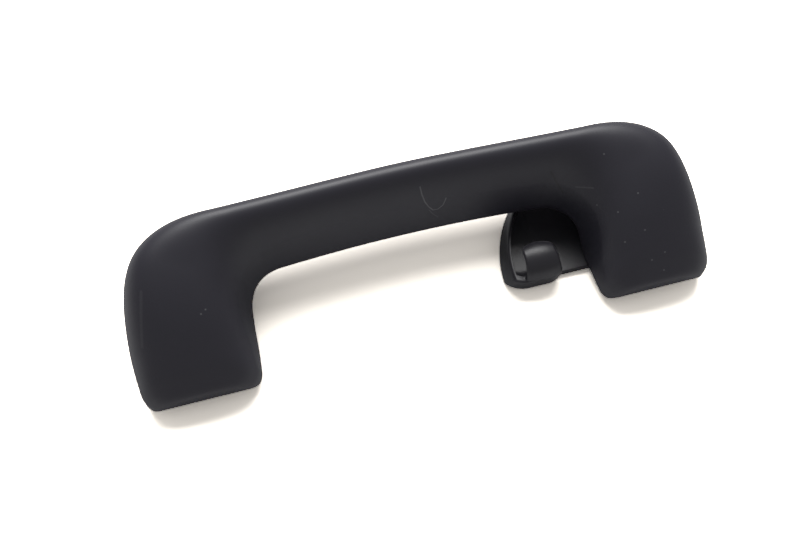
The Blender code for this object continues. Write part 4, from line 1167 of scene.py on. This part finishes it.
def floor_material():
    """Whiter to the camera than to the light that it throws back, so its shadows stay soft and short."""
    material, nodes, shader = new_material("white_table")
    seen = nodes.add("ShaderNodeLightPath").outputs["Is Camera Ray"]
    nodes.fill(shader, {
        "Base Color": nodes.mix(seen, TABLE_BOUNCE, TABLE_SEEN),
        "Roughness": TABLE_ROUGHNESS,
        "Specular IOR Level": 0.0})
    return material


def make_floor():
    signs = ((-1, -1), (1, -1), (1, 1), (-1, 1))
    corners = [(TABLE_HALF * x, TABLE_HALF * y, -TABLE_DROP) for x, y in signs]
    floor = add_mesh("table_top", corners, [[0, 1, 2, 3]])
    floor.data.materials.append(floor_material())


def make_world():
    world = bpy.data.worlds.new("studio")
    bpy.context.scene.world = world
    world.use_nodes = True
    nodes = Nodes(world.node_tree)
    seen = nodes.add("ShaderNodeLightPath").outputs["Is Camera Ray"]
    nodes.fill(world.node_tree.nodes["Background"], {
        "Color": (1.0, 1.0, 1.0, 1.0), "Strength": nodes.math("MAXIMUM", seen, ROOM_LEVEL)})


def make_window():
    light = bpy.data.lights.new("window", "AREA")
    light.shape = "RECTANGLE"
    light.size = WINDOW_WIDTH
    light.size_y = WINDOW_HEIGHT
    light.energy = WINDOW_WATTS
    window = bpy.data.objects.new("window", light)
    bpy.context.scene.collection.objects.link(window)
    window.location = WINDOW_PLACE
    window.rotation_euler = (WINDOW_AIM - WINDOW_PLACE).to_track_quat("-Z", "Y").to_euler()


def camera_matrix():
    """Where the camera stands and how it is turned."""
    back = Vector((
        math.sin(CAMERA_AZIMUTH) * math.cos(CAMERA_ELEVATION),
        -math.cos(CAMERA_AZIMUTH) * math.cos(CAMERA_ELEVATION),
        math.sin(CAMERA_ELEVATION)))
    right = (-back).cross(Vector((0, 0, 1))).normalized()
    up = right.cross(-back)
    turn = Matrix((right, up, back)).transposed().to_4x4()
    roll = Matrix.Rotation(CAMERA_ROLL, 4, "Z")
    return Matrix.Translation(CAMERA_TARGET + back * CAMERA_DISTANCE) @ turn @ roll


def make_camera():
    data = bpy.data.cameras.new("camera")
    data.lens = LENS_MM
    data.sensor_fit = "HORIZONTAL"
    data.sensor_width = SENSOR_MM
    data.clip_start = CAMERA_NEAR
    camera = bpy.data.objects.new("camera", data)
    bpy.context.scene.collection.objects.link(camera)
    camera.matrix_world = camera_matrix()
    bpy.context.scene.camera = camera


def dress(node, material):
    """Give a carried-over node its finish."""
    item = frame["nodes"][node]
    item.data.materials.clear()
    item.data.materials.append(material)


def stand_in(piece, node, body, material):
    """Let a finer piece take a node's place on its body."""
    piece.data.materials.clear()
    piece.data.materials.append(material)
    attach(piece, body)
    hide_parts(node)


def main():
    bpy.context.scene.view_settings.view_transform = "Standard"
    grain = grain_group()
    grip = make_grip()
    finishes = {"soft_touch": soft_touch_material(grip, grain, scratch_group(), dust_group())}
    for name, look in PLASTICS.items():
        finishes[name] = moulded_plastic(name, grain, *look)
    for name, look in METALS.items():
        finishes[name] = plain_metal(name, grain, *look)
    for entry in frame["record"]["subparts"]:
        dress(entry["node"], finishes[entry["material_slot"]])
    stand_in(grip, "grip", "handle", finishes["soft_touch"])
    stand_in(make_hook_bracket(), "hook_bracket", "brackets", finishes["satin_black"])
    spring = make_spring(finishes["spring_steel"])
    stand_in(spring, "return_spring", "brackets", finishes["spring_steel"])
    make_floor()
    make_world()
    make_window()
    make_camera()


main()
